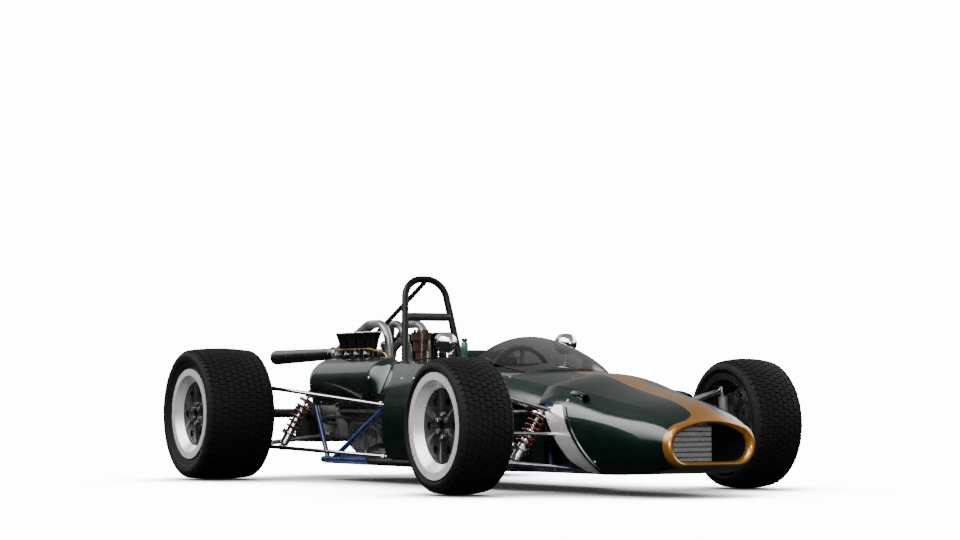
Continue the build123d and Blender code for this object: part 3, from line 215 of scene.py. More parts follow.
def finish(name, light, dark, gloss, metallic=0.0, coat=0.0, shine=0.5, grain=14.0, bump=0.0, pits=260.0,
           stretch=(1, 1, 1)):
    """A surface of two tones mixed by noise, with uneven gloss and a fine bump."""
    material = bpy.data.materials.new(name)
    material.use_nodes = True
    tree = material.node_tree
    shader = tree.nodes["Principled BSDF"].inputs
    shader["Metallic"].default_value = metallic
    shader["Specular IOR Level"].default_value = shine
    shader["Coat Weight"].default_value = coat
    shader["Coat Roughness"].default_value = COAT_ROUGHNESS
    coords = node(tree, "ShaderNodeTexCoord").outputs["Object"]
    spot = node(tree, "ShaderNodeMapping", Vector=coords, Scale=stretch).outputs["Vector"]
    cloud = node(tree, "ShaderNodeTexNoise", Vector=spot, Scale=grain, Detail=5).outputs["Fac"]
    tones = ramp(tree, cloud, *zip(TONE_EDGES, (dark, light)))
    tones.name = "tones"
    feed(tree, shader["Base Color"], tones.outputs["Color"])
    feed(tree, shader["Roughness"], fade(tree, cloud, *GLOSS_EDGES, *gloss))
    if bump:
        pit = node(tree, "ShaderNodeTexNoise", Vector=spot, Scale=pits, Detail=3).outputs["Fac"]
        relief = node(tree, "ShaderNodeBump", Strength=bump, Distance=BUMP_DEPTH, Height=pit)
        feed(tree, shader["Normal"], relief.outputs["Normal"])
    return material


def dress(material, *names):
    """Gives carried nodes their finish."""
    for name in names:
        NODES[name].data.materials.clear()
        NODES[name].data.materials.append(material)


blue_paint = finish("blue_paint", (0.006, 0.022, 0.11), (0.004, 0.015, 0.08), (0.22, 0.34), coat=0.4,
                    bump=0.05)
dress(blue_paint, "frame_rails", "frame_braces", "frame_cross_tubes", "damper_outriggers")

# Belly pan and nose former: bare aluminium sheet, brushed along the car and dulled by handling.
# The pan is riveted below the frame; the former is the hoop that the nose slides over.
bare_aluminium = finish("bare_aluminium", (0.86, 0.86, 0.86), (0.74, 0.74, 0.74), (0.22, 0.36), metallic=0.75,
                        grain=9, bump=0.02, pits=420, stretch=(1, 0.06, 1))
dress(bare_aluminium, "undertray", "nose_former")


# Bodywork: glass fibre mouldings in very dark green gloss, with a bronze gold intake ring and centre stripe.
# The colours are sprayed and lacquered over, so both lie under the same clear coat.
def axes(tree, centre=(0, 0, 0)):
    """The piece's own x, y and z, measured from a centre."""
    coords = node(tree, "ShaderNodeTexCoord").outputs["Object"]
    moved = node(tree, "ShaderNodeMapping", Vector=coords, Location=[-c for c in centre]).outputs["Vector"]
    split = node(tree, "ShaderNodeSeparateXYZ", moved).outputs
    return split["X"], split["Y"], split["Z"]


def both(tree, *masks):
    """One where every mask is one."""
    share = masks[0]
    for mask in masks[1:]:
        share = calc(tree, "MULTIPLY", share, mask)
    return share


def repaint(material, mask, light, dark):
    """Lays a second pair of tones over a finish where the mask is one."""
    tree = material.node_tree
    colour = tree.nodes["Principled BSDF"].inputs["Base Color"]
    under = colour.links[0].from_socket
    cloud = tree.nodes["tones"].inputs["Fac"].links[0].from_socket
    over = ramp(tree, cloud, *zip(TONE_EDGES, (dark, light))).outputs["Color"]
    mix = node(tree, "ShaderNodeMix", mask)
    mix.data_type = "RGBA"
    feed(tree, mix.inputs[6], under)
    feed(tree, mix.inputs[7], over)
    feed(tree, colour, mix.outputs[2])


STRIPE_HALF = 0.060
STRIPE_LOW_Z = 0.25
RING_EDGE_Y = place(0, -747, 0).y
FLARE_START_Y = place(0, -705, 0).y
FLARE_RATE = 24.0
FLARE_SHARE = 0.05
SCUTTLE_END_Y = place(0, 470, 0).y


def body_paint():
    paint = finish("body_paint", (0.0021, 0.0112, 0.0070), (0.0017, 0.0094, 0.0058), (0.28, 0.36),
                   metallic=0.65, coat=1.0, shine=0.2, grain=5, bump=0.006, pits=170)
    tree = paint.node_tree
    x, y, z = axes(tree)
    ahead = calc(tree, "MAXIMUM", calc(tree, "SUBTRACT", FLARE_START_Y, y), 0.0)
    flare = calc(tree, "POWER", calc(tree, "MULTIPLY", ahead, FLARE_RATE), 3.0)
    half = calc(tree, "ADD", calc(tree, "MULTIPLY", flare, FLARE_SHARE), STRIPE_HALF)
    stripe = both(tree, calc(tree, "LESS_THAN", calc(tree, "ABSOLUTE", x), half),
                  calc(tree, "GREATER_THAN", z, STRIPE_LOW_Z), calc(tree, "LESS_THAN", y, SCUTTLE_END_Y))
    ring = calc(tree, "LESS_THAN", y, RING_EDGE_Y)
    repaint(paint, calc(tree, "MAXIMUM", stripe, ring), (0.34, 0.150, 0.022), (0.28, 0.122, 0.017))
    return paint


gloss_green = body_paint()
dress(gloss_green, "nose_cone", "cockpit_surround", "lower_side_panels")


# Rivets and screws of the bodywork: painted domed rivets along the panel edges, and a few bright screws.
# They are set into the skin square to it, in rows, by one node tree that sets a stud on every point.
def setting_tree(name, sizes, shape, turns=(("facing", "Z", "AUTO"),), scale=None):
    """A node tree that sets a shape on every point of a mesh, turned by the points' own directions."""
    tree = bpy.data.node_groups.new(name, "GeometryNodeTree")
    for size, kind in (("Geometry", "Geometry"), *sizes, ("Finish", "Material")):
        tree.interface.new_socket(size, in_out="INPUT", socket_type="NodeSocket" + kind)
    tree.interface.new_socket("Geometry", in_out="OUTPUT", socket_type="NodeSocketGeometry")
    given = node(tree, "NodeGroupInput").outputs
    setter = node(tree, "GeometryNodeInstanceOnPoints", Points=given["Geometry"], Instance=shape(tree, given))
    turned_to = None
    for field, axis, pivot in turns:
        way = node(tree, "GeometryNodeInputNamedAttribute", Name=field)
        way.data_type = "FLOAT_VECTOR"
        turn = node(tree, "FunctionNodeAlignRotationToVector", Vector=way.outputs["Attribute"])
        turn.axis, turn.pivot_axis = axis, pivot
        if turned_to is not None:
            feed(tree, turn.inputs["Rotation"], turned_to)
        turned_to = turn.outputs["Rotation"]
    feed(tree, setter.inputs["Rotation"], turned_to)
    if scale is not None:
        feed(tree, setter.inputs["Scale"], given[scale])
    solid = node(tree, "GeometryNodeRealizeInstances", Geometry=setter.outputs["Instances"]).outputs[0]
    paint = node(tree, "GeometryNodeSetMaterial", Geometry=solid, Material=given["Finish"])
    node(tree, "NodeGroupOutput", Geometry=paint.outputs["Geometry"])
    return tree


def set_out(name, tree, spots, sizes, body, fields=()):
    """Dresses points by a node tree, keeps the result as one plain mesh, and lets it ride on a body."""
    mesh = bpy.data.meshes.new(name)
    mesh.from_pydata([spot[0] for spot in spots], [], [])
    for k, field in enumerate(("facing", *fields), start=1):
        values = mesh.attributes.new(field, "FLOAT_VECTOR", "POINT")
        values.data.foreach_set("vector", [c for spot in spots for c in spot[k]])
    piece = bpy.data.objects.new(name, mesh)
    SCENE.collection.objects.link(piece)
    modifier = piece.modifiers.new("set_out", "NODES")
    modifier.node_group = tree
    for socket in tree.interface.items_tree:
        if socket.in_out == "INPUT" and socket.name in sizes:
            modifier[socket.identifier] = sizes[socket.name]
    made = bpy.data.meshes.new_from_object(piece.evaluated_get(bpy.context.evaluated_depsgraph_get()))
    piece.modifiers.clear()
    piece.data = made
    made.name = name
    if not made.materials:
        made.materials.append(sizes["Finish"])
    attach(piece, body)


def stud(tree, given):
    return node(tree, "GeometryNodeMeshCone", Vertices=given["Sides"], Radius_Top=given["Head radius"],
                Radius_Bottom=given["Foot radius"], Depth=given["Height"]).outputs["Mesh"]


STUDS = setting_tree("studs", [("Sides", "Int"), ("Foot radius", "Float"), ("Head radius", "Float"),
                               ("Height", "Float")], stud)


def studs(name, spots, sides, foot, head, height, material, body="chassis"):
    """Rivets, screws or nuts on (point, direction) spots: sides, radius at foot and head, and height."""
    sizes = {"Sides": sides, "Foot radius": foot, "Head radius": head, "Height": height, "Finish": material}
    set_out(name, STUDS, spots, sizes, body)


def merged(*parts):
    """Several (points, faces) pairs as one."""
    points, faces = [], []
    for more, sides in parts:
        faces += [tuple(len(points) + v for v in face) for face in sides]
        points += more
    return points, faces


def skin_of(*names):
    """A search tree over the outside of some carried nodes."""
    parts = []
    for name in names:
        mesh = NODES[name].data
        points = [vertex.co.copy() for vertex in mesh.vertices]
        parts.append((points, [polygon.vertices for polygon in mesh.polygons]))
    return BVHTree.FromPolygons(*merged(*parts))


CLEAR_SIDE, CLEAR_ABOVE = 700, 1100


def from_side(skin, side, aft, z, sink=0.0):
    """Where a line across the car first meets the skin, from the left (1) or the right (-1)."""
    point, normal, _, _ = skin.ray_cast(place(side * CLEAR_SIDE, aft, z), Vector((-side, 0, 0)))
    return point - normal * sink, normal


def from_above(skin, x, aft, sink=0.0):
    """Where a plumb line first meets the skin."""
    point, normal, _, _ = skin.ray_cast(place(x, aft, CLEAR_ABOVE), Vector((0, 0, -1)))
    return point - normal * sink, normal


HANDS = ((-1, "right"), (1, "left"))
BODY_SKIN = skin_of("nose_cone", "cockpit_surround", "lower_side_panels", "engine_side_covers")
RIVET_ROWS = [  # from (aft, z) to (aft, z) on each side, and how many
    ((62, 404), (62, 372), 4), ((70, 366), (380, 366), 17), ((400, 366), (1350, 366), 40),
    ((400, 352), (1350, 352), 40),
]
SCUTTLE_RIVET_AFTS = (62, 28)
SCUTTLE_HALF, SCUTTLE_PITCH = 220, 20
RIVET_SINK, SCREW_SINK = 0.0004, 0.0005
SCREWS = [(1250, 470), (1130, 470), (-345, 130), (-140, 372), (330, 470)]
plated_steel = finish("plated_steel", (0.78, 0.78, 0.77), (0.62, 0.62, 0.61), (0.10, 0.22), metallic=1.0,
                      grain=40)


def rivet_spots():
    spots = []
    for side, _ in HANDS:
        for (aft0, z0), (aft1, z1), count in RIVET_ROWS:
            for k in range(count):
                share = k / (count - 1)
                aft, z = aft0 + share * (aft1 - aft0), z0 + share * (z1 - z0)
                spots.append(from_side(BODY_SKIN, side, aft, z, RIVET_SINK))
    for x in range(-SCUTTLE_HALF, SCUTTLE_HALF + 1, SCUTTLE_PITCH):
        spots += [from_above(BODY_SKIN, x, aft, RIVET_SINK) for aft in SCUTTLE_RIVET_AFTS]
    return spots


studs("body_rivets", rivet_spots(), 8, 0.0026, 0.0014, 0.0012, gloss_green)
screw_spots = [from_side(BODY_SKIN, side, aft, z, SCREW_SINK) for side, _ in HANDS for aft, z in SCREWS]
studs("body_screws", screw_spots, 12, 0.0075, 0.0055, 0.0025, plated_steel)

# Shoulder scoops: two small moulded air scoops bonded to the nose, open to the front and faired away behind.
# They are the same green as the nose; a flat matt black cap inside the mouth is painted shade for the dark
# throat.
SCOOP_X = 238.0
SCOOP_FRONT = -240.0
SCOOP_LENGTH = 120.0
SCOOP_HALF = 0.019
SCOOP_RISE = 0.030
SCOOP_TAPER, SCOOP_FALL = 0.45, 0.8
SCOOP_WALL = 0.003
SCOOP_SINK = 0.003
SCOOP_STEPS, THROAT_STEP = 12, 4
matt_black = finish("matt_black", (0.004, 0.004, 0.004), (0.002, 0.002, 0.002), (0.5, 0.7), shine=0.12,
                    bump=0.15)


def new_piece(name, points, faces, material, body, slot, smooth=None):
    """A hand-made mesh as a piece that rides on a body."""
    mesh = bpy.data.meshes.new(name)
    mesh.from_pydata(points, [], faces)
    shape = bmesh.new()
    shape.from_mesh(mesh)
    bmesh.ops.remove_doubles(shape, verts=shape.verts, dist=1e-6)
    bmesh.ops.recalc_face_normals(shape, faces=shape.faces)
    shape.to_mesh(mesh)
    shape.free()
    if smooth is not None:
        mesh.shade_smooth()
        mesh.set_sharp_from_angle(angle=math.radians(smooth))
    mesh.materials.append(material)
    piece = bpy.data.objects.new(name, mesh)
    SCENE.collection.objects.link(piece)
    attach(piece, body)
    return piece


def quads(rows, loop=False):
    """Points and faces between rows of points of the same length, closed round each row if it is a loop."""
    width = len(rows[0])
    points = [point for row in rows for point in row]
    faces = []
    for r in range(len(rows) - 1):
        for k in range(width if loop else width - 1):
            nxt = (k + 1) % width
            faces.append((r * width + k, r * width + nxt, (r + 1) * width + nxt, (r + 1) * width + k))
    return points, faces


def scoop(side, hand):
    outer, inner = [], []
    arc = [math.pi * k / SCOOP_STEPS for k in range(SCOOP_STEPS + 1)]
    for r in range(SCOOP_STEPS + 1):
        share = r / SCOOP_STEPS
        foot, normal = from_above(BODY_SKIN, side * SCOOP_X, SCOOP_FRONT + share * SCOOP_LENGTH)
        across = Vector((0, 1, 0)).cross(normal).normalized()
        half = SCOOP_HALF * (1 - SCOOP_TAPER * share ** 2)
        rise = SCOOP_RISE * math.cos(share * math.pi / 2) ** SCOOP_FALL
        sunk = foot - normal * SCOOP_SINK
        outer.append([sunk + across * half * math.cos(a) + normal * rise * math.sin(a) for a in arc])
        if r <= THROAT_STEP:
            inner.append([sunk + across * (half - SCOOP_WALL) * math.cos(a)
                          + normal * (rise - SCOOP_WALL) * math.sin(a) for a in arc])
    points, faces = merged(quads(outer), quads(inner))
    shift = len(outer) * len(arc)
    faces += [(k, k + 1, shift + k + 1, shift + k) for k in range(SCOOP_STEPS)]
    new_piece(f"scoop_{hand}", points, faces, gloss_green, "chassis", "body_paint", 50)
    # A flat black cap closes the scoop's throat as painted shade.
    back = inner[THROAT_STEP]
    new_piece(f"scoop_throat_{hand}", back, [tuple(range(len(back)))], matt_black, "chassis", "black_paint")


for side, hand in HANDS:
    scoop(side, hand)

# Engine side covers: barrel-sided glass fibre mouldings over the cam boxes, open above for the intakes.
# Each laps over the end of the cockpit surround, swells behind it and hangs over the upper frame rail.
# Turn-buttons hold its lower edge.
COVER_FRONT, COVER_REAR = 1405.0, 2128.0
COVER_SWELL = 85.0
COVER_TUCK, COVER_TUCK_SHARE = 14.0, 0.02
COVER_AXIS_X, COVER_AXIS_Z, COVER_RAY_Z = 205.0, 465.0, 400.0
COVER_OUT, COVER_UP, COVER_DOWN = 142.0, 108.0, 180.0
COVER_POWER = 2.1
COVER_INNER_X = 229.0
COVER_LIP_FRONT, COVER_LIP = 404.0, 350.0
COVER_LIP_AFT = (1540.0, 1650.0)
COVER_LAP = 0.003
COVER_SKIN = 0.004
COVER_STEPS = 22
SWELL_STEPS, LENGTH_STEPS = 10, 24
TUCK_AT = (9, 4, 0)
COVER_CLEAR = 0.4
COVER_BUTTONS = ((19, 1), (31, 1), (10, 5))


def eased(value, start, end):
    """A share from 0 to 1 that starts and ends gently while a value runs from start to end."""
    share = min(1.0, max(0.0, (value - start) / (end - start)))
    return share * share * (3 - 2 * share)


def barrel(turn):
    """The full section's point at a turn from level, outward and up, in millimetres."""
    reach = abs(math.cos(turn)) ** (2 / COVER_POWER)
    rise = abs(math.sin(turn)) ** (2 / COVER_POWER)
    lift = COVER_UP * rise if turn > 0 else -COVER_DOWN * rise
    return COVER_AXIS_X + COVER_OUT * reach, COVER_AXIS_Z + lift


def cover_row(side, aft):
    """One section of a cover, outside and inside, from the lip to the edge beside the intakes."""
    lip = COVER_LIP_FRONT + (COVER_LIP - COVER_LIP_FRONT) * eased(aft, *COVER_LIP_AFT)
    first = -math.asin(((COVER_AXIS_Z - lip) / COVER_DOWN) ** (COVER_POWER / 2))
    last = math.acos(((COVER_INNER_X - COVER_AXIS_X) / COVER_OUT) ** (COVER_POWER / 2))
    swell = eased(aft, COVER_FRONT, COVER_FRONT + COVER_SWELL)
    tuck = 1 - COVER_TUCK_SHARE * eased(aft, COVER_REAR - COVER_TUCK, COVER_REAR)
    centre = place(side * COVER_AXIS_X, aft, COVER_RAY_Z)
    outer, inner = [], []
    for k in range(COVER_STEPS + 1):
        x, z = barrel(first + (last - first) * k / COVER_STEPS)
        full = place(side * x, aft, z)
        ray = (full - centre).normalized()
        reach = (full - centre).length * tuck
        if swell < 1:
            skin, _, _, _ = BODY_SKIN.ray_cast(centre + ray * COVER_CLEAR, -ray)
            reach = (skin - centre).length + COVER_LAP + swell * (reach - (skin - centre).length - COVER_LAP)
        outer.append(centre + ray * reach)
        inner.append(centre + ray * (reach - COVER_SKIN))
    return outer, inner


def engine_covers():
    full, tucked = COVER_FRONT + COVER_SWELL, COVER_REAR - COVER_TUCK
    afts = [COVER_FRONT + COVER_SWELL * k / SWELL_STEPS for k in range(SWELL_STEPS + 1)]
    afts += [full + (tucked - COVER_FRONT - COVER_SWELL) * k / LENGTH_STEPS
             for k in range(1, LENGTH_STEPS + 1)]
    afts += [COVER_REAR - ahead for ahead in TUCK_AT]
    shells, buttons = [], []
    for side, _ in HANDS:
        rows = [cover_row(side, aft) for aft in afts]
        points, faces = quads([outer + inner[::-1] for outer, inner in rows], loop=True)
        count = COVER_STEPS + 1
        for end in (0, (len(rows) - 1) * 2 * count):
            faces += [(end + k, end + k + 1, end + 2 * count - 2 - k, end + 2 * count - 1 - k)
                      for k in range(COVER_STEPS)]
        shells.append((points, faces))
        for row, step in COVER_BUTTONS:
            spot = rows[row][0][step]
            rise, along = rows[row][0][step + 1] - spot, rows[row + 1][0][step] - spot
            buttons.append((spot, along.cross(rise).normalized() * side))
    piece = new_piece("engine_cover_shells", *merged(*shells), gloss_green, "chassis", "body_paint", 40)
    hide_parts("engine_side_covers")
    studs("cover_buttons", buttons, 10, 0.0095, 0.0070, 0.003, plated_steel)


engine_covers()


# Footwell sides: sheet closing the frame inside the lower rails, beside the driver's legs, in black that is
# painted shade.
# The sheets are riveted to the rails, below the steering rack.
def closed(rows):
    """Points and faces of a tube through loops of points, with both ends capped."""
    points, faces = quads(rows, loop=True)
    width = len(rows[0])
    return points, faces + [tuple(range(width)), tuple(range(len(points) - width, len(points)))]


FOOTWELL_LINE = [(-255, 128), (195, 152), (330, 205)]
FOOTWELL_LOW, FOOTWELL_HIGH = 88.0, 205.0
FOOTWELL_SHEET = 1.5
FOOTWELL_SECTION = [(0, FOOTWELL_LOW), (0, FOOTWELL_HIGH), (FOOTWELL_SHEET, FOOTWELL_HIGH),
                    (FOOTWELL_SHEET, FOOTWELL_LOW)]
# The sheets' matt black stands in for the deep shade of the footwell, as painted shade.
for side, hand in HANDS:
    sheet = [[place(side * (x - inset), aft, z) for inset, z in FOOTWELL_SECTION] for aft, x in FOOTWELL_LINE]
    new_piece(f"footwell_side_{hand}", *closed(sheet), matt_black, "chassis", "black_paint")

# Former flange: the bare former widens below into a flat sheet skirt behind the slanting edge of the nose.
# It is the same brushed aluminium, folded off the former. A moulded green lip stiffens the edge of the nose.
FLANGE_LOW, FLANGE_HIGH = 92.0, 346.0
FLANGE_WIDTH = 62.0
FLANGE_FOOT, FLANGE_GROWTH = 0.35, 4
FLANGE_LAP, FLANGE_REACH = 10, 16
FORMER_NEAR, FORMER_FAR = 20, 44
FLANGE_THICK = 0.0016
FLANGE_STEPS = 24
EDGE_AFT, EDGE_Z = -365, 60
EDGE_RUN, EDGE_RISE = 250, 300
LIP_FOOT = 8
LIP_SECTION = [(-30, -0.002), (-24, 0.0045), (-9, 0.0045), (-4, -0.002)]  # (behind the edge, off the skin)
FORMER_SKIN = skin_of("nose_former")


def nose_edge(z):
    """How far behind the front axle the nose's slanting edge lies at a height."""
    return EDGE_AFT + (z - EDGE_Z) * EDGE_RUN / EDGE_RISE


def former_flange(side, hand):
    rows = []
    for k in range(FLANGE_STEPS + 1):
        share = k / FLANGE_STEPS
        z = FLANGE_LOW + share * (FLANGE_HIGH - FLANGE_LOW)
        width = FLANGE_WIDTH * min(1.0, FLANGE_FOOT + FLANGE_GROWTH * share)
        start, _ = from_side(FORMER_SKIN, side, nose_edge(z) + FORMER_FAR, z)
        ahead, _ = from_side(FORMER_SKIN, side, nose_edge(z) + FORMER_NEAR, z)
        drift = (start - ahead) / (FORMER_FAR - FORMER_NEAR)
        near, far = start + drift * FLANGE_LAP, start + drift * (FLANGE_REACH + width)
        outer = [near + (far - near) * step / 4 for step in range(5)]
        inner = [point - Vector((side * FLANGE_THICK, 0, 0)) for point in outer]
        rows.append(outer + inner[::-1])
    new_piece(f"former_flange_{hand}", *closed(rows), bare_aluminium, "chassis", "bare_aluminium", 40)


def nose_lip(side, hand):
    rows = []
    for k in range(FLANGE_STEPS + 1):
        z = FLANGE_LOW + LIP_FOOT + k / FLANGE_STEPS * (FLANGE_HIGH - FLANGE_LOW - LIP_FOOT)
        spots = [(from_side(BODY_SKIN, side, nose_edge(z) + shift, z), rise) for shift, rise in LIP_SECTION]
        rows.append([point + normal * rise for (point, normal), rise in spots])
    new_piece(f"nose_lip_{hand}", *closed(rows), gloss_green, "chassis", "body_paint", 50)


for side, hand in HANDS:
    former_flange(side, hand)
    nose_lip(side, hand)

# Radiator: a cross-flow core of flat tubes and thin fins behind the intake, with a black duct leading to it.
# The tubes are rows of thin bars soldered between the tanks, dark as painted shade; the duct is painted
# sheet.
CORE_FACE = -560.0
CORE_INSET = 1
CORE_HALF = 150.0
CORE_LOW, CORE_HIGH = 100.0, 320.0
CORE_TUBES, CORE_FINS = 11, 110
TUBE_SIZE, FIN_SIZE = (0.30, 0.008, 0.0042), (0.0007, 0.004, 0.22)
core_grey = finish("core_grey", (0.50, 0.50, 0.49), (0.24, 0.24, 0.24), (0.35, 0.5), metallic=0.1, grain=420,
                   bump=0.5, pits=300, stretch=(1, 0.1, 0.35))
# The tubes' near-black finish is painted shade between the rows of fins.
core_painted_shade = finish("core_painted_shade", (0.050, 0.050, 0.050), (0.024, 0.024, 0.024), (0.4, 0.55), grain=60,
                    bump=0.2)
dress(core_grey, "radiator")


def bar(tree, given):
    return node(tree, "GeometryNodeMeshCube", Size=given["Bar size"]).outputs["Mesh"]


BARS = setting_tree("bars", [("Bar size", "Vector")], bar)
tube_heights = [CORE_LOW + (CORE_HIGH - CORE_LOW) * (k + 0.5) / CORE_TUBES for k in range(CORE_TUBES)]
tubes = [(place(0, CORE_FACE + CORE_INSET, z), (0, 0, 1)) for z in tube_heights]
set_out("radiator_tubes", BARS, tubes, {"Bar size": TUBE_SIZE, "Finish": core_painted_shade}, "chassis")
fin_places = [-CORE_HALF + 2 * CORE_HALF * (k + 0.5) / CORE_FINS for k in range(CORE_FINS)]
core_middle = (CORE_LOW + CORE_HIGH) / 2
fins = [(place(x, CORE_FACE + CORE_INSET, core_middle), (0, 0, 1)) for x in fin_places]
set_out("radiator_fins", BARS, fins, {"Bar size": FIN_SIZE, "Finish": core_grey}, "chassis")


def rounded(half, low, high, corner, aft, steps=8):
    """A rounded rectangle across the car, as a loop of points."""
    loop = []
    for k, (sx, sz) in enumerate(((1, 1), (-1, 1), (-1, -1), (1, -1))):
        cx = sx * (half - corner)
        cz = (high - corner) if sz > 0 else (low + corner)
        for step in range(steps + 1):
            a = math.pi / 2 * (k + step / steps)
            loop.append(place(cx + corner * math.cos(a), aft, cz + corner * math.sin(a)))
    return loop


DUCT = [(166, 140, 281, 64, -742), (160, 130, 290, 50, -680), (136, 108, 312, 16, CORE_FACE - 4)]
duct_sheet = quads([rounded(*row) for row in DUCT], loop=True)
new_piece("radiator_duct", *duct_sheet, matt_black, "chassis", "black_paint", 40)

# Windscreen: one moulding of thin grey-tinted acrylic, raked and wrapped round, standing on the scuttle.
# It is blown from a flat sheet, so tint and polish are even.
grey_acrylic = finish("grey_acrylic", (0.40, 0.415, 0.43), (0.36, 0.375, 0.39), (0.0, 0.02), grain=3)
clear_sheet = grey_acrylic.node_tree.nodes["Principled BSDF"].inputs
clear_sheet["Transmission Weight"].default_value = 1.0
clear_sheet["IOR"].default_value = 1.49
dress(grey_acrylic, "windscreen")

# Roll hoop and headrest: a bent steel tube in satin black with a rear stay, and a leather roll across it.
# The roll is sewn as a tube round foam, gathered at the ends, and laced to the hoop.
satin_black = finish("satin_black", (0.0042, 0.0042, 0.0045), (0.0028, 0.0028, 0.0030), (0.26, 0.38),
                     coat=0.03, shine=0.16, bump=0.04)
dress(satin_black, "roll_hoop", "oil_tank")
black_leather = finish("black_leather", (0.020, 0.019, 0.018), (0.010, 0.0095, 0.009), (0.38, 0.55), grain=60,
                       bump=0.55, pits=520)
VOXEL = 0.005
SWELL_FRAMES = 20
SWELL_PRESSURE = 4.0
ROLL_RADIUS = 0.0195
ROLL_GATHER, ROLL_GATHER_POWER = 0.30, 14
ROLL_INSET = 0.003
ROLL_SWELL = 0.003
ROLL_STEPS, ROLL_TURNS = 24, 20


def stuffed(piece, cap, resting=None):
    """Remeshes a closed form, lets it swell as stuffed cloth, and limits how far each point moves."""
    remesh = piece.modifiers.new("remesh", "REMESH")
    remesh.mode = "VOXEL"
    remesh.voxel_size = VOXEL
    fine = bpy.data.meshes.new_from_object(piece.evaluated_get(bpy.context.evaluated_depsgraph_get()))
    piece.modifiers.clear()
    material = piece.data.materials[0]
    piece.data = fine
    start = [vertex.co.copy() for vertex in fine.vertices]
    cloth = piece.modifiers.new("cloth", "CLOTH")
    cloth.settings.use_pressure = True
    cloth.settings.uniform_pressure_force = SWELL_PRESSURE
    cloth.settings.effector_weights.gravity = 0
    for step in range(1, SWELL_FRAMES + 1):
        SCENE.frame_set(step)
    swollen = piece.evaluated_get(bpy.context.evaluated_depsgraph_get()).to_mesh()
    moves = [vertex.co - first for vertex, first in zip(swollen.vertices, start)]
    piece.modifiers.remove(cloth)
    SCENE.frame_set(1)
    for vertex, first, move in zip(fine.vertices, start, moves):
        move = move * min(1.0, cap / max(move.length, 1e-9))
        vertex.co = first + move * (resting(first) if resting else 1.0)
    fine.materials.clear()
    fine.materials.append(material)
    fine.shade_smooth()


def headrest_roll():
    low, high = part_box("headrest")
    middle = (low + high) / 2
    half = (high.x - low.x) / 2 - ROLL_INSET
    turns = [2 * math.pi * k / ROLL_TURNS for k in range(ROLL_TURNS)]
    rows = []
    for k in range(ROLL_STEPS + 1):
        share = -1 + 2 * k / ROLL_STEPS
        radius = ROLL_RADIUS * (1 - ROLL_GATHER * abs(share) ** ROLL_GATHER_POWER)
        rows.append([middle + Vector((share * half, radius * math.cos(a), radius * math.sin(a)))
                     for a in turns])
    roll = new_piece("headrest_roll", *closed(rows), black_leather, "chassis", "leather_black")
    stuffed(roll, ROLL_SWELL)
    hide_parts("headrest")


headrest_roll()

# Seat: a moulded bucket shell with a leather-covered foam pad, sewn across in channels to the driver's shape.
# The pad lies in the shell between its wings and is flat where it rests on it.
dress(satin_black, "seat")
PAD_LINE = [(775, 189), (930, 152), (1080, 152), (1336, 505)]
PAD_HALF = 166.0
PAD_DEPTH = 20.0
PAD_CROWN = 0.35
PAD_FOOT = 0.003
PAD_REST, PAD_SEWN = 0.009, 0.010
PAD_SWELL = 0.008
PAD_STEPS, PAD_COLUMNS, PAD_SMOOTH = 48, 14, 4
CHANNEL_PITCH = 0.075
CHANNEL_DEPTH = 0.006
CHANNEL_HALF = 0.005


def pad_frames():
    """Points along the pad's foot with the direction away from the shell and the distance covered."""
    corners = [place(0, aft, z) for aft, z in PAD_LINE]
    lengths = [(b - a).length for a, b in zip(corners, corners[1:])]
    frames = []
    for k in range(PAD_STEPS + 1):
        reach = sum(lengths) * k / PAD_STEPS
        gone = 0.0
        for a, b, length in zip(corners, corners[1:], lengths):
            if reach <= gone + length + 1e-9:
                along = (b - a).normalized()
                frames.append([a + along * (reach - gone), Vector((0, -along.z, along.y)), reach])
                break
            gone += length
    smooth = []
    for k, (point, up, reach) in enumerate(frames):
        beside = frames[max(0, k - PAD_SMOOTH):k + PAD_SMOOTH + 1]
        inside = PAD_SMOOTH <= k <= PAD_STEPS - PAD_SMOOTH
        spot = sum((f[0] for f in beside), Vector()) / len(beside) if inside else point
        smooth.append((spot, sum((f[1] for f in beside), Vector()).normalized(), reach))
    return smooth


def seat_pad():
    line = pad_frames()
    shares = [-1 + 2 * k / PAD_COLUMNS for k in range(PAD_COLUMNS + 1)]
    rows = []
    for point, up, _ in line:
        across = [(share, point + Vector((share * PAD_HALF / 1000, 0, 0))) for share in shares]
        row = [spot + up * (PAD_DEPTH * (1 - PAD_CROWN * share ** 6)) / 1000 for share, spot in across]
        rows.append(row + [spot + up * PAD_FOOT for _, spot in reversed(across)])
    pad = new_piece("seat_pad", *closed(rows), black_leather, "chassis", "leather_black")

    def nearest(spot):
        return min(line, key=lambda row: (row[0].y - spot.y) ** 2 + (row[0].z - spot.z) ** 2)

    def lifted(spot):
        point, up, _ = nearest(spot)
        return 0.0 if (spot - point).dot(up) < PAD_REST else 1.0

    stuffed(pad, PAD_SWELL, lifted)
    for vertex in pad.data.vertices:
        point, up, reach = nearest(vertex.co)
        if (vertex.co - point).dot(up) > PAD_SEWN:
            off = (reach / CHANNEL_PITCH + 0.5) % 1.0 - 0.5
            vertex.co -= up * CHANNEL_DEPTH * math.exp(-(off * CHANNEL_PITCH / CHANNEL_HALF) ** 2)


seat_pad()


# Dashboard: a black crackle plate inside the scuttle with four round instruments facing the driver.
# Each has a bright bezel and a black dial with pale ticks and a pointer.
def hoop(tree, given):
    circle = node(tree, "GeometryNodeCurvePrimitiveCircle", Resolution=32, Radius=given["Radius"])
    wire = node(tree, "GeometryNodeCurvePrimitiveCircle", Resolution=10, Radius=given["Wire"])
    return node(tree, "GeometryNodeCurveToMesh", Curve=circle.outputs["Curve"],
                Profile_Curve=wire.outputs["Curve"]).outputs["Mesh"]


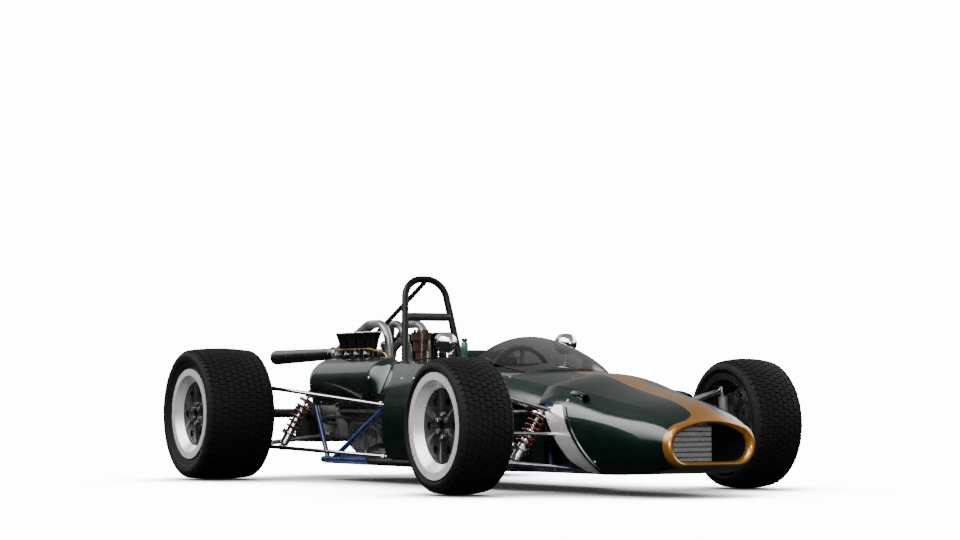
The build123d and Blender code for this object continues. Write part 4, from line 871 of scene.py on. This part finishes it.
def turned(name, profile, centre, axis, material, slot, smooth=35, turns=32):
    """A turned piece of the chassis from (along, radius) pairs about an axis, closed at both ends."""
    axis = Vector(axis).normalized()
    side = axis.orthogonal().normalized()
    over = axis.cross(side)
    rows = [[Vector(centre) + axis * along + (side * math.cos(a) + over * math.sin(a)) * radius
             for a in (2 * math.pi * k / turns for k in range(turns))] for along, radius in profile]
    new_piece(name, *closed(rows), material, "chassis", slot, smooth)


def span(tree, *parts):
    """The length of a distance that has these parts."""
    total = calc(tree, "POWER", parts[0], 2.0)
    for part in parts[1:]:
        total = calc(tree, "ADD", total, calc(tree, "POWER", part, 2.0))
    return calc(tree, "SQRT", total)


HOOPS = setting_tree("hoops", [("Radius", "Float"), ("Wire", "Float")], hoop)
dash_crackle = finish("dash_crackle", (0.016, 0.016, 0.016), (0.009, 0.009, 0.009), (0.45, 0.6), bump=0.5,
                      pits=330)
dress(dash_crackle, "dashboard")
DIAL_FACE = 563.5
DIAL_DEPTH = 0.008
DIAL_PROFILE = [(0, 0), (DIAL_DEPTH, 0), (DIAL_DEPTH, -0.003), (0.006, -0.004)]  # (along, off the radius)
SMALL_DIAL, LARGE_DIAL = 26, 30
DIALS = [(-205, 452, SMALL_DIAL), (-135, 472, LARGE_DIAL), (135, 472, LARGE_DIAL), (205, 452, SMALL_DIAL)]
BEZEL_WIRE = 0.0024
TICK_BEATS, TICK_WIDTH, TICK_FROM, TICK_TO = 10.0, 0.16, 0.72, 0.90
HAND_TURN, HAND_WIDTH, HAND_REACH = 0.8, 0.07, 0.7


def dial_ticks(centre, radius):
    """A dial's own finish: pale ticks round a black face, and a pale pointer."""
    dial = finish("dial_face", (0.012, 0.012, 0.012), (0.009, 0.009, 0.009), (0.3, 0.4))
    tree = dial.node_tree
    x, _, z = axes(tree, centre)
    angle = calc(tree, "ARCTAN2", x, z)
    distance = span(tree, x, z)
    beat = calc(tree, "ABSOLUTE", calc(tree, "SINE", calc(tree, "MULTIPLY", angle, TICK_BEATS)))
    tick = both(tree, calc(tree, "LESS_THAN", beat, TICK_WIDTH),
                calc(tree, "GREATER_THAN", distance, radius * TICK_FROM),
                calc(tree, "LESS_THAN", distance, radius * TICK_TO))
    off_hand = calc(tree, "ABSOLUTE", calc(tree, "ADD", angle, HAND_TURN))
    hand = both(tree, calc(tree, "LESS_THAN", off_hand, HAND_WIDTH),
                calc(tree, "LESS_THAN", distance, radius * HAND_REACH))
    repaint(dial, calc(tree, "MAXIMUM", tick, hand), (0.75, 0.75, 0.70), (0.65, 0.65, 0.60))
    return dial


bezels = []
for k, (x, z, size) in enumerate(DIALS):
    centre, radius = place(x, DIAL_FACE, z), size / 1000
    profile = [(along, radius + step) for along, step in DIAL_PROFILE]
    turned(f"dial_{k}", profile, centre, (0, 1, 0), dial_ticks(centre, radius), "dash_black")
    bezels.append((centre + Vector((0, DIAL_DEPTH, 0)), Vector((0, 1, 0)), size))
for tag, size in (("small", SMALL_DIAL), ("large", LARGE_DIAL)):
    set_out(f"dial_bezels_{tag}", HOOPS, [row[:2] for row in bezels if row[2] == size],
            {"Radius": size / 1000, "Wire": BEZEL_WIRE, "Finish": plated_steel}, "chassis")

# Steering wheel: an alloy three-spoke plate with a leather-wrapped rim, sewn inside, on a steel column.
# The bare spokes and the black column are welded; the leather is stretched over the rim and stitched.
WHEEL_AFT, WHEEL_Z = 727, 452
RACK_AFT, RACK_Z = -105, 236
WHEEL_HUB = place(0, WHEEL_AFT, WHEEL_Z)
COLUMN = Vector((0, 1, (WHEEL_Z - RACK_Z) / (WHEEL_AFT - RACK_AFT))).normalized()
COLUMN_END = -0.012
LEATHER_START = 0.1365
RIM_CIRCLE, RIM_THICK = 0.149, 0.0110
STITCH_CIRCLE = RIM_CIRCLE - RIM_THICK
STITCHES = 120


def steering_finish():
    rim = finish("steering_wheel_finish", (0.62, 0.62, 0.61), (0.50, 0.50, 0.49), (0.35, 0.5), metallic=0.6,
                 grain=30, bump=0.25, pits=480)
    tree = rim.node_tree
    x, y, z = axes(tree, WHEEL_HUB)
    along = calc(tree, "ADD", calc(tree, "MULTIPLY", y, COLUMN.y), calc(tree, "MULTIPLY", z, COLUMN.z))
    leather = calc(tree, "GREATER_THAN", span(tree, x, y, z), LEATHER_START)
    column = calc(tree, "LESS_THAN", along, COLUMN_END)
    repaint(rim, calc(tree, "MAXIMUM", leather, column), (0.016, 0.014, 0.012), (0.009, 0.008, 0.007))
    return rim


dress(steering_finish(), "steering_wheel")
thread = finish("waxed_thread", (0.32, 0.30, 0.26), (0.24, 0.22, 0.19), (0.5, 0.7), grain=200, bump=0.3)
rim_side = COLUMN.orthogonal().normalized()
rim_over = COLUMN.cross(rim_side)
stitches = []
for k in range(STITCHES):
    turn = 2 * math.pi * k / STITCHES
    inward = -(rim_side * math.cos(turn) + rim_over * math.sin(turn))
    stitches.append((WHEEL_HUB - inward * STITCH_CIRCLE, inward))
studs("steering_stitches", stitches, 6, 0.0013, 0.0009, 0.0011, thread, "steering")

# Mirrors: bullet housings spun from sheet and chromed, on short stalks, with a silvered glass in a rim.
# The glass faces the driver.
MIRROR_X, MIRROR_FACE, MIRROR_Z = 300, 853, 622
MIRROR_RIM, MIRROR_WIRE = 0.0415, 0.0024
MIRROR_PROFILE = [(0, 0.041), (0.0012, 0.041), (0.0016, 0.036), (0.0018, 0.018), (0.0019, 0.004)]
chrome = finish("chrome", (0.86, 0.87, 0.88), (0.78, 0.79, 0.80), (0.03, 0.07), metallic=1.0, grain=6)
dress(chrome, "mirrors")
mirror_glass = finish("mirror_glass", (0.90, 0.92, 0.94), (0.86, 0.88, 0.90), (0.02, 0.03), metallic=1.0,
                      grain=4)
glasses = [(place(side * MIRROR_X, MIRROR_FACE, MIRROR_Z), Vector((0, 1, 0))) for side, _ in HANDS]
set_out("mirror_rims", HOOPS, glasses, {"Radius": MIRROR_RIM, "Wire": MIRROR_WIRE, "Finish": chrome},
        "chassis")
for (_, hand), (centre, facing) in zip(HANDS, glasses):
    turned(f"mirror_glass_{hand}", MIRROR_PROFILE, centre, facing, mirror_glass, "plated_steel")

# Suspension: links and rods of bright plated steel, silver dampers, dark red coil springs, cast uprights.
# The threaded rod ends are locked by hexagon nuts.
dress(plated_steel, "front_wishbones", "front_anti_roll_bar", "radius_rods", "rear_links", "rack_bar",
      "track_rod_left", "track_rod_right")
damper_silver = finish("damper_silver", (0.72, 0.72, 0.72), (0.5, 0.5, 0.5), (0.14, 0.3), metallic=1.0,
                       grain=60)
dress(damper_silver, "dampers")
spring_red = finish("spring_red", (0.10, 0.006, 0.006), (0.06, 0.004, 0.004), (0.16, 0.28), coat=0.6,
                    bump=0.05)
dress(spring_red, "springs")
cast_alloy = finish("cast_alloy", (0.21, 0.21, 0.214), (0.115, 0.115, 0.118), (0.38, 0.56), metallic=0.35,
                    grain=22, bump=0.4, pits=300)
dress(cast_alloy, "rear_uprights", "upright_front_left", "upright_front_right", "rack_housing")
ROD_NUTS = [  # (start, end, how far along) of the rods on the left
    (place(286, 1388, 353), place(545, 2349, 448), (0.05, 0.94)),
    (place(275, 1385, 118), place(528, 2320, 160), (0.05, 0.95)),
]
nut_spots = []
for start, end, shares in ROD_NUTS:
    for share in shares:
        spot, along = start.lerp(end, share), (end - start).normalized()
        for side in (1, -1):
            nut_spots.append(tuple(Vector((way.x * side, way.y, way.z)) for way in (spot, along)))
studs("rod_locknuts", nut_spots, 6, 0.0145, 0.0145, 0.012, plated_steel)

# Brakes and hubs: machined iron discs with rings left by the tool, on steel hubs; they turn with the wheels.
# The rear hubs carry the half shafts.
TOOL_RINGS, RING_BUMP, RING_DEPTH = 4200.0, 0.25, 0.0004


def turned_iron(name, centre):
    iron = finish(name, (0.12, 0.117, 0.114), (0.07, 0.069, 0.067), (0.22, 0.36), metallic=1.0, grain=24)
    tree = iron.node_tree
    _, y, z = axes(tree, centre)
    rings = calc(tree, "SINE", calc(tree, "MULTIPLY", span(tree, y, z), TOOL_RINGS))
    relief = node(tree, "ShaderNodeBump", Strength=RING_BUMP, Distance=RING_DEPTH, Height=rings)
    feed(tree, tree.nodes["Principled BSDF"].inputs["Normal"], relief.outputs["Normal"])
    return iron


class Corner:
    """The sizes of one wheel and its tyre, given in millimetres and kept in metres."""

    def __init__(self, tag, side, aft, x, radius, width, rim_width, rows, columns):
        self.tag, self.side = tag, side
        self.body = f"wheel_{tag}"
        self.centre = place(side * x, aft, radius)
        self.radius, self.width, self.rim_width = radius / 1000, width / 1000, rim_width / 1000
        self.rows, self.columns = rows, columns
        self.outward = Vector((side, 0, 0))


CORNERS = []
for side, hand in reversed(HANDS):
    CORNERS.append(Corner(f"front_{hand}", side, aft=0, x=684, radius=273, width=238, rim_width=222,
                          rows=58, columns=7))
    CORNERS.append(Corner(f"rear_{hand}", side, aft=2390, x=699, radius=312, width=340, rim_width=302,
                          rows=68, columns=8))
for corner in CORNERS:
    dress(turned_iron(f"brake_iron_{corner.tag}", corner.centre), f"hub_{corner.tag}")

# Wheels: cast alloy, a polished flat lip and a pale silver dish; satin black centre, and a black back that is
# painted shade.
# Six bright hexagon nuts on washers hold each one to its hub.
WHEEL_BACK_SHADE_EDGE = 0.02
WHEEL_CENTRE = 0.1505
FACE_INSET = 0.038
NUT_CIRCLE = 0.044
WEB_ROWS = [(0.060, 0.018, 0.0060), (0.085, 0.018, 0.0050), (0.115, 0.024, 0.0036), (0.146, 0.040, 0.0010)]
WEB_SINK, WEB_POWER = 0.0006, 1.3
WEB_SHARES = [-1 + step / 3 for step in range(7)]
SIX = [math.radians(60 * k) for k in range(6)]
wheel_black = finish("wheel_black", (0.007, 0.007, 0.0075), (0.005, 0.005, 0.0053), (0.30, 0.40), coat=0.15,
                     bump=0.05)


def spoke(turn):
    """The directions out from an axle and round it, at a turn from the top."""
    return Vector((0, math.sin(turn), math.cos(turn))), Vector((0, math.cos(turn), -math.sin(turn)))


def alloy_finish(corner):
    alloy = finish(f"wheel_alloy_{corner.tag}", (0.86, 0.86, 0.85), (0.81, 0.81, 0.80), (0.24, 0.34),
                   metallic=0.5, grain=18, bump=0.01)
    tree = alloy.node_tree
    x, y, z = axes(tree, corner.centre)
    # The inboard back of the wheel is painted black as painted shade; the black centre is the wheel's own
    # paint.
    back = calc(tree, "LESS_THAN", calc(tree, "MULTIPLY", x, float(corner.side)), WHEEL_BACK_SHADE_EDGE)
    centre = calc(tree, "LESS_THAN", span(tree, y, z), WHEEL_CENTRE)
    repaint(alloy, calc(tree, "MAXIMUM", back, centre), (0.010, 0.010, 0.011), (0.006, 0.006, 0.007))
    return alloy


def wheel_webs(corner, face):
    """Six raised ridges from the hub to the edge of the centre, between its holes."""
    ridges = []
    for turn in SIX:
        radial, tangent = spoke(turn)
        rows = []
        for r, half, rise in WEB_ROWS:
            lifts = [(share, rise * (1 - abs(share)) ** WEB_POWER - WEB_SINK) for share in WEB_SHARES]
            rows.append([corner.centre + radial * r + tangent * half * share + corner.outward * (face + lift)
                         for share, lift in lifts])
        ridges.append(quads(rows))
    new_piece(f"wheel_webs_{corner.tag}", *merged(*ridges), wheel_black, corner.body, "rim_alloy", 50)


for corner in CORNERS:
    dress(alloy_finish(corner), corner.body)
    face = corner.rim_width / 2 - FACE_INSET
    wheel_webs(corner, face)
    nuts = [(corner.centre + spoke(turn)[0] * NUT_CIRCLE + corner.outward * face, corner.outward)
            for turn in SIX]
    studs(f"wheel_nuts_{corner.tag}", nuts, 6, 0.0115, 0.0095, 0.0125, plated_steel, corner.body)
    studs(f"wheel_washers_{corner.tag}", nuts, 20, 0.0145, 0.0138, 0.0020, wheel_black, corner.body)

# Tyres: black racing rubber with round shoulders, and a tread of slit six-sided blocks in staggered rows.
# The carcass is turned and carries the blocks, which a node tree sets on its crown and down to the shoulders.
tyre_rubber = finish("tyre_rubber", (0.0040, 0.0040, 0.0039), (0.0027, 0.0027, 0.0026), (0.56, 0.70),
                     shine=0.14, grain=26, bump=0.25, pits=420)
GROOVE = 0.0055
SHOULDER = 0.024
SHOULDER_OUT, SHOULDER_DOWN = 0.006, 0.0165
SHOULDER_CURVE = [(0.012, 0.0185), (0.0075, 0.0225), (0.0035, 0.029), (0.001, 0.036), (0.0, 0.044)]
SIDE_TOP = 0.044
SIDE_RIBS = [(0.2, 0), (0.26, 0.0012), (0.34, 0.0012), (0.40, 0), (0.6, 0), (0.66, 0.001), (0.74, 0.001),
             (0.8, 0)]
BEAD_INSET, BEAD_TOE, BEAD_HEEL = 0.012, 0.001, 0.022
FOOT_OUT, FOOT_UP = 0.004, 0.001
SIDE_WALL = 0.016
CROWN_WALL_IN, CROWN_WALL_DOWN = 0.004, 0.022
CROWN, CROWN_STEPS = 0.009, 8
RIM_RADIUS, BEAD_RADIUS = 0.212, 0.192
CARCASS_TURNS = 96
BLOCK_OUTLINE = [(-1, 0), (-0.5, -1), (0.5, -1), (0.93, -0.14), (0.1, -0.1), (0.1, 0.1), (0.93, 0.14),
                 (0.5, 1), (-0.5, 1)]
LUG_OUTLINE = [(-1, -0.6), (-0.4, -1), (1, -0.9), (1, 0.9), (-0.4, 1), (-1, 0.6)]
BLOCK_RINGS = ((1, -1), (0.97, -0.16), (0.92, 0))  # (share of the outline, height)
BLOCK_SINK, BLOCK_HEIGHT = 0.0006, 0.0065
BLOCK_FILL_ACROSS, BLOCK_FILL_ROUND = 0.92, 0.90
LUG_OUT, LUG_DOWN = 0.0085, 0.0138
LUG_LENGTH, LUG_HEIGHT = 0.0080, 0.0060
LUG_FILL, LUG_SHIFT = 0.74, 0.25
LUG_UP, LUG_LEAN = 0.80, 0.60


def tread_height(corner, offset):
    """The tread's radius and slope at a distance from the tyre's middle."""
    edge = corner.width / 2 - SHOULDER
    return corner.radius - CROWN * (offset / edge) ** 2, 2 * CROWN * offset / edge ** 2


def carcass(corner):
    half, bead = corner.width / 2, corner.rim_width / 2 - BEAD_INSET
    edge = half - SHOULDER
    top = corner.radius
    crown = [edge * k / CROWN_STEPS for k in range(CROWN_STEPS + 1)]
    one = [(offset, tread_height(corner, offset)[0] - GROOVE) for offset in crown]
    one.append((edge + SHOULDER_OUT, top - SHOULDER_DOWN))
    one += [(half - inset, top - drop) for inset, drop in SHOULDER_CURVE]
    foot = (bead + FOOT_OUT, RIM_RADIUS + FOOT_UP)
    for share, rise in SIDE_RIBS:
        height = top - SIDE_TOP + (foot[1] - top + SIDE_TOP) * share
        one.append((half + (foot[0] - half) * share + rise, height))
    one += [foot, (bead - BEAD_TOE, BEAD_RADIUS), (bead - BEAD_HEEL, BEAD_RADIUS),
            (half - SIDE_WALL, top - SIDE_TOP), (edge - CROWN_WALL_IN, top - CROWN_WALL_DOWN)]
    loop = one + [(-x, r) for x, r in reversed(one[1:])]
    rows = []
    for k in range(CARCASS_TURNS):
        radial, _ = spoke(2 * math.pi * k / CARCASS_TURNS)
        rows.append([corner.centre + Vector((x, 0, 0)) + radial * r for x, r in loop])
    points, faces = quads([*rows, rows[0]], loop=True)
    body = new_piece(f"tyre_carcass_{corner.tag}", points, faces, tyre_rubber, corner.body, "tyre_rubber", 38)
    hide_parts(f"tyre_{corner.tag}")


def block(tree, given):
    return node(tree, "GeometryNodeObjectInfo", Object=given["Block"]).outputs["Geometry"]


def block_shape(name, outline):
    """A block one unit across, from its outline: straight sides, a bevelled top edge, open below."""
    mesh = bpy.data.meshes.new(name)
    rows = [[Vector((x * share, y * share, z)) for x, y in outline] for share, z in BLOCK_RINGS]
    points, faces = quads(rows, loop=True)
    faces.append(tuple(range(2 * len(outline), 3 * len(outline))))
    mesh.from_pydata(points, [], faces)
    shape = bpy.data.objects.new(name, mesh)
    SCENE.collection.objects.link(shape)
    return shape


BLOCKS = setting_tree("tread_blocks", [("Block", "Object"), ("Block size", "Vector")], block,
                      (("facing", "Z", "AUTO"), ("around", "Y", "Z")), "Block size")
block_model, lug_model = block_shape("block_model", BLOCK_OUTLINE), block_shape("lug_model", LUG_OUTLINE)


def tread(corner):
    edge = corner.width / 2 - SHOULDER
    pitch = 2 * edge / (corner.columns + 1 / 3)
    spots, lugs = [], []
    for column in range(corner.columns):
        offset = (column - (corner.columns - 1) / 2) * pitch
        height, slope = tread_height(corner, offset)
        for row in range(corner.rows):
            radial, around = spoke(2 * math.pi * (row + (column % 2) / 2) / corner.rows)
            up = (radial + Vector((slope, 0, 0))).normalized()
            spot = corner.centre + Vector((offset, 0, 0)) + radial * (height - BLOCK_SINK)
            spots.append((spot, up, around))
    for end in (-1, 1):
        for row in range(corner.rows):
            radial, around = spoke(2 * math.pi * (row + LUG_SHIFT) / corner.rows)
            up = (radial * LUG_UP + Vector((end * LUG_LEAN, 0, 0))).normalized()
            foot = corner.centre + Vector((end * (edge + LUG_OUT), 0, 0))
            lugs.append((foot + radial * (corner.radius - LUG_DOWN), up, around * end))
    step = 2 * math.pi * corner.radius / corner.rows
    block_size = (pitch * 2 / 3 * BLOCK_FILL_ACROSS, step / 2 * BLOCK_FILL_ROUND, BLOCK_HEIGHT)
    lug_size = (LUG_LENGTH, step / 2 * LUG_FILL, LUG_HEIGHT)
    for tag, model, points, size in (("blocks", block_model, spots, block_size),
                                     ("lugs", lug_model, lugs, lug_size)):
        sizes = {"Block": model, "Block size": size, "Finish": tyre_rubber}
        set_out(f"tread_{tag}_{corner.tag}", BLOCKS, points, sizes, corner.body, ("around",))


for corner in CORNERS:
    carcass(corner)
    tread(corner)
for model in (block_model, lug_model):
    bpy.data.objects.remove(model)

# Engine and gearbox: castings in grey light alloy, rough from the sand and dulled by oil and heat.
# Crankcase and gearbox are bolted end to end; the heads stand in a vee under the side covers.
dress(cast_alloy, "engine_block", "cylinder_heads", "gearbox")

# Intakes: eight black spun trumpets, the black partly painted shade, with rolled bright rims, each with an
# injector fed from a brass line.
# The injectors are screwed in below the rims, on the outside of each bank.
INTAKE_FIRST, INTAKE_PITCH = 1770, 100
INTAKE_AFTS = [INTAKE_FIRST + INTAKE_PITCH * k for k in range(4)]
INTAKES = [(side, aft) for side, _ in HANDS for aft in INTAKE_AFTS]
MOUTH_X, MOUTH_Z = 186, 690
MOUTH_RADIUS, MOUTH_WIRE = 0.0425, 0.0028
INJECTOR_X, INJECTOR_Z = 204, 586
INJECTOR_LEAN = (0.25, 0.35)
CAP_REACH = 0.020
LINK_X, LINK_Z, LINK_SHIFT = 206, 566, 20
# The trumpets' satin black is partly their own and partly painted shade on their sides.
dress(satin_black, "intake_trumpets")
mouths = [(place(side * MOUTH_X, aft, MOUTH_Z), Vector((0, 0, 1))) for side, aft in INTAKES]
set_out("trumpet_rims", HOOPS, mouths,
        {"Radius": MOUTH_RADIUS, "Wire": MOUTH_WIRE, "Finish": bare_aluminium}, "chassis")
injectors = [(place(side * INJECTOR_X, aft, INJECTOR_Z), Vector((side, *INJECTOR_LEAN)).normalized())
             for side, aft in INTAKES]
studs("injector_bodies", injectors, 10, 0.0085, 0.0065, 0.026, plated_steel)
caps = [(point + facing * CAP_REACH, facing) for point, facing in injectors]
studs("injector_nuts", caps, 6, 0.0100, 0.0100, 0.007, plated_steel)
throttles = [(place(side * LINK_X, aft + LINK_SHIFT, LINK_Z), Vector((0, 1, 0)))
             for side, _ in HANDS for aft in INTAKE_AFTS[:3]]
studs("throttle_links", throttles, 8, 0.003, 0.003, 0.06, plated_steel)
brass_line = finish("brass_line", (0.50, 0.36, 0.09), (0.36, 0.25, 0.06), (0.22, 0.36), metallic=1.0,
                    grain=30)
dress(brass_line, "fuel_lines")

# Exhausts: bent steel primaries, pale grey from heat, gathered into gloss black megaphone tailpipes.
# The colour changes at the collector behind the heads.
COLLECTOR_Y = place(0, 2240, 0).y


def exhaust_finish():
    pipe = finish("exhaust_steel", (0.25, 0.25, 0.245), (0.15, 0.148, 0.146), (0.18, 0.30), metallic=0.45,
                  coat=0.7, grain=16, bump=0.04)
    tree = pipe.node_tree
    _, y, _ = axes(tree)
    repaint(pipe, calc(tree, "GREATER_THAN", y, COLLECTOR_Y), (0.010, 0.010, 0.010), (0.006, 0.006, 0.006))
    return pipe


dress(exhaust_finish(), "exhaust_pipes")

# Pipes and hoses beside the engine: a pale coolant rail, pipes painted black below a set height along the
# sills, and rubber hoses.
# The steel pipes are bent cold; the hoses push over their ends and over stubs on the castings.
BLACK_PIPE_BELOW = 0.24


def water_finish():
    pipe = finish("water_pipe", (0.80, 0.80, 0.79), (0.66, 0.66, 0.65), (0.28, 0.4), metallic=0.2, grain=20,
                  bump=0.08)
    tree = pipe.node_tree
    _, _, z = axes(tree)
    # Below this height the pipes are painted black, so they are darker towards the bottom.
    repaint(pipe, calc(tree, "LESS_THAN", z, BLACK_PIPE_BELOW), (0.014, 0.014, 0.014), (0.010, 0.010, 0.010))
    return pipe


dress(water_finish(), "water_pipes")
hose_rubber = finish("hose_rubber", (0.15, 0.15, 0.15), (0.10, 0.10, 0.10), (0.45, 0.6), grain=60, bump=0.3)
dress(hose_rubber, "engine_hoses")

# Ignition unit: a brown moulded distributor cap with lead towers, on a drive housing at the front of the vee.
# The resin is pressed hot in a steel mould, so it keeps a soft gloss.
cap_brown = finish("cap_brown", (0.044, 0.018, 0.012), (0.029, 0.012, 0.008), (0.25, 0.38), grain=24,
                   bump=0.08)
dress(cap_brown, "ignition_unit")

# Catch can: a small teal-painted can with a bright screw cap, standing on the rear deck beside the roll hoop.
# Can and neck are turned in one; the cap is a separate knob of plated steel.
CAN_X, CAN_AFT = 135, 1465
CAN_PROFILE = [(-0.001, 0.0160), (0.001, 0.0168), (0.072, 0.0168), (0.078, 0.0140), (0.080, 0.0105),
               (0.084, 0.0105)]
CAP_PROFILE = [(0.082, 0.0135), (0.083, 0.0142), (0.094, 0.0142), (0.0955, 0.0125), (0.096, 0.004)]
can_teal = finish("can_teal", (0.030, 0.085, 0.090), (0.022, 0.065, 0.070), (0.2, 0.3), coat=0.5, grain=20,
                  bump=0.04)
can_foot, _ = from_above(BODY_SKIN, CAN_X, CAN_AFT)
turned("catch_can", CAN_PROFILE, can_foot, (0, 0, 1), can_teal, "body_paint")
turned("catch_can_cap", CAP_PROFILE, can_foot, (0, 0, 1), plated_steel, "plated_steel")
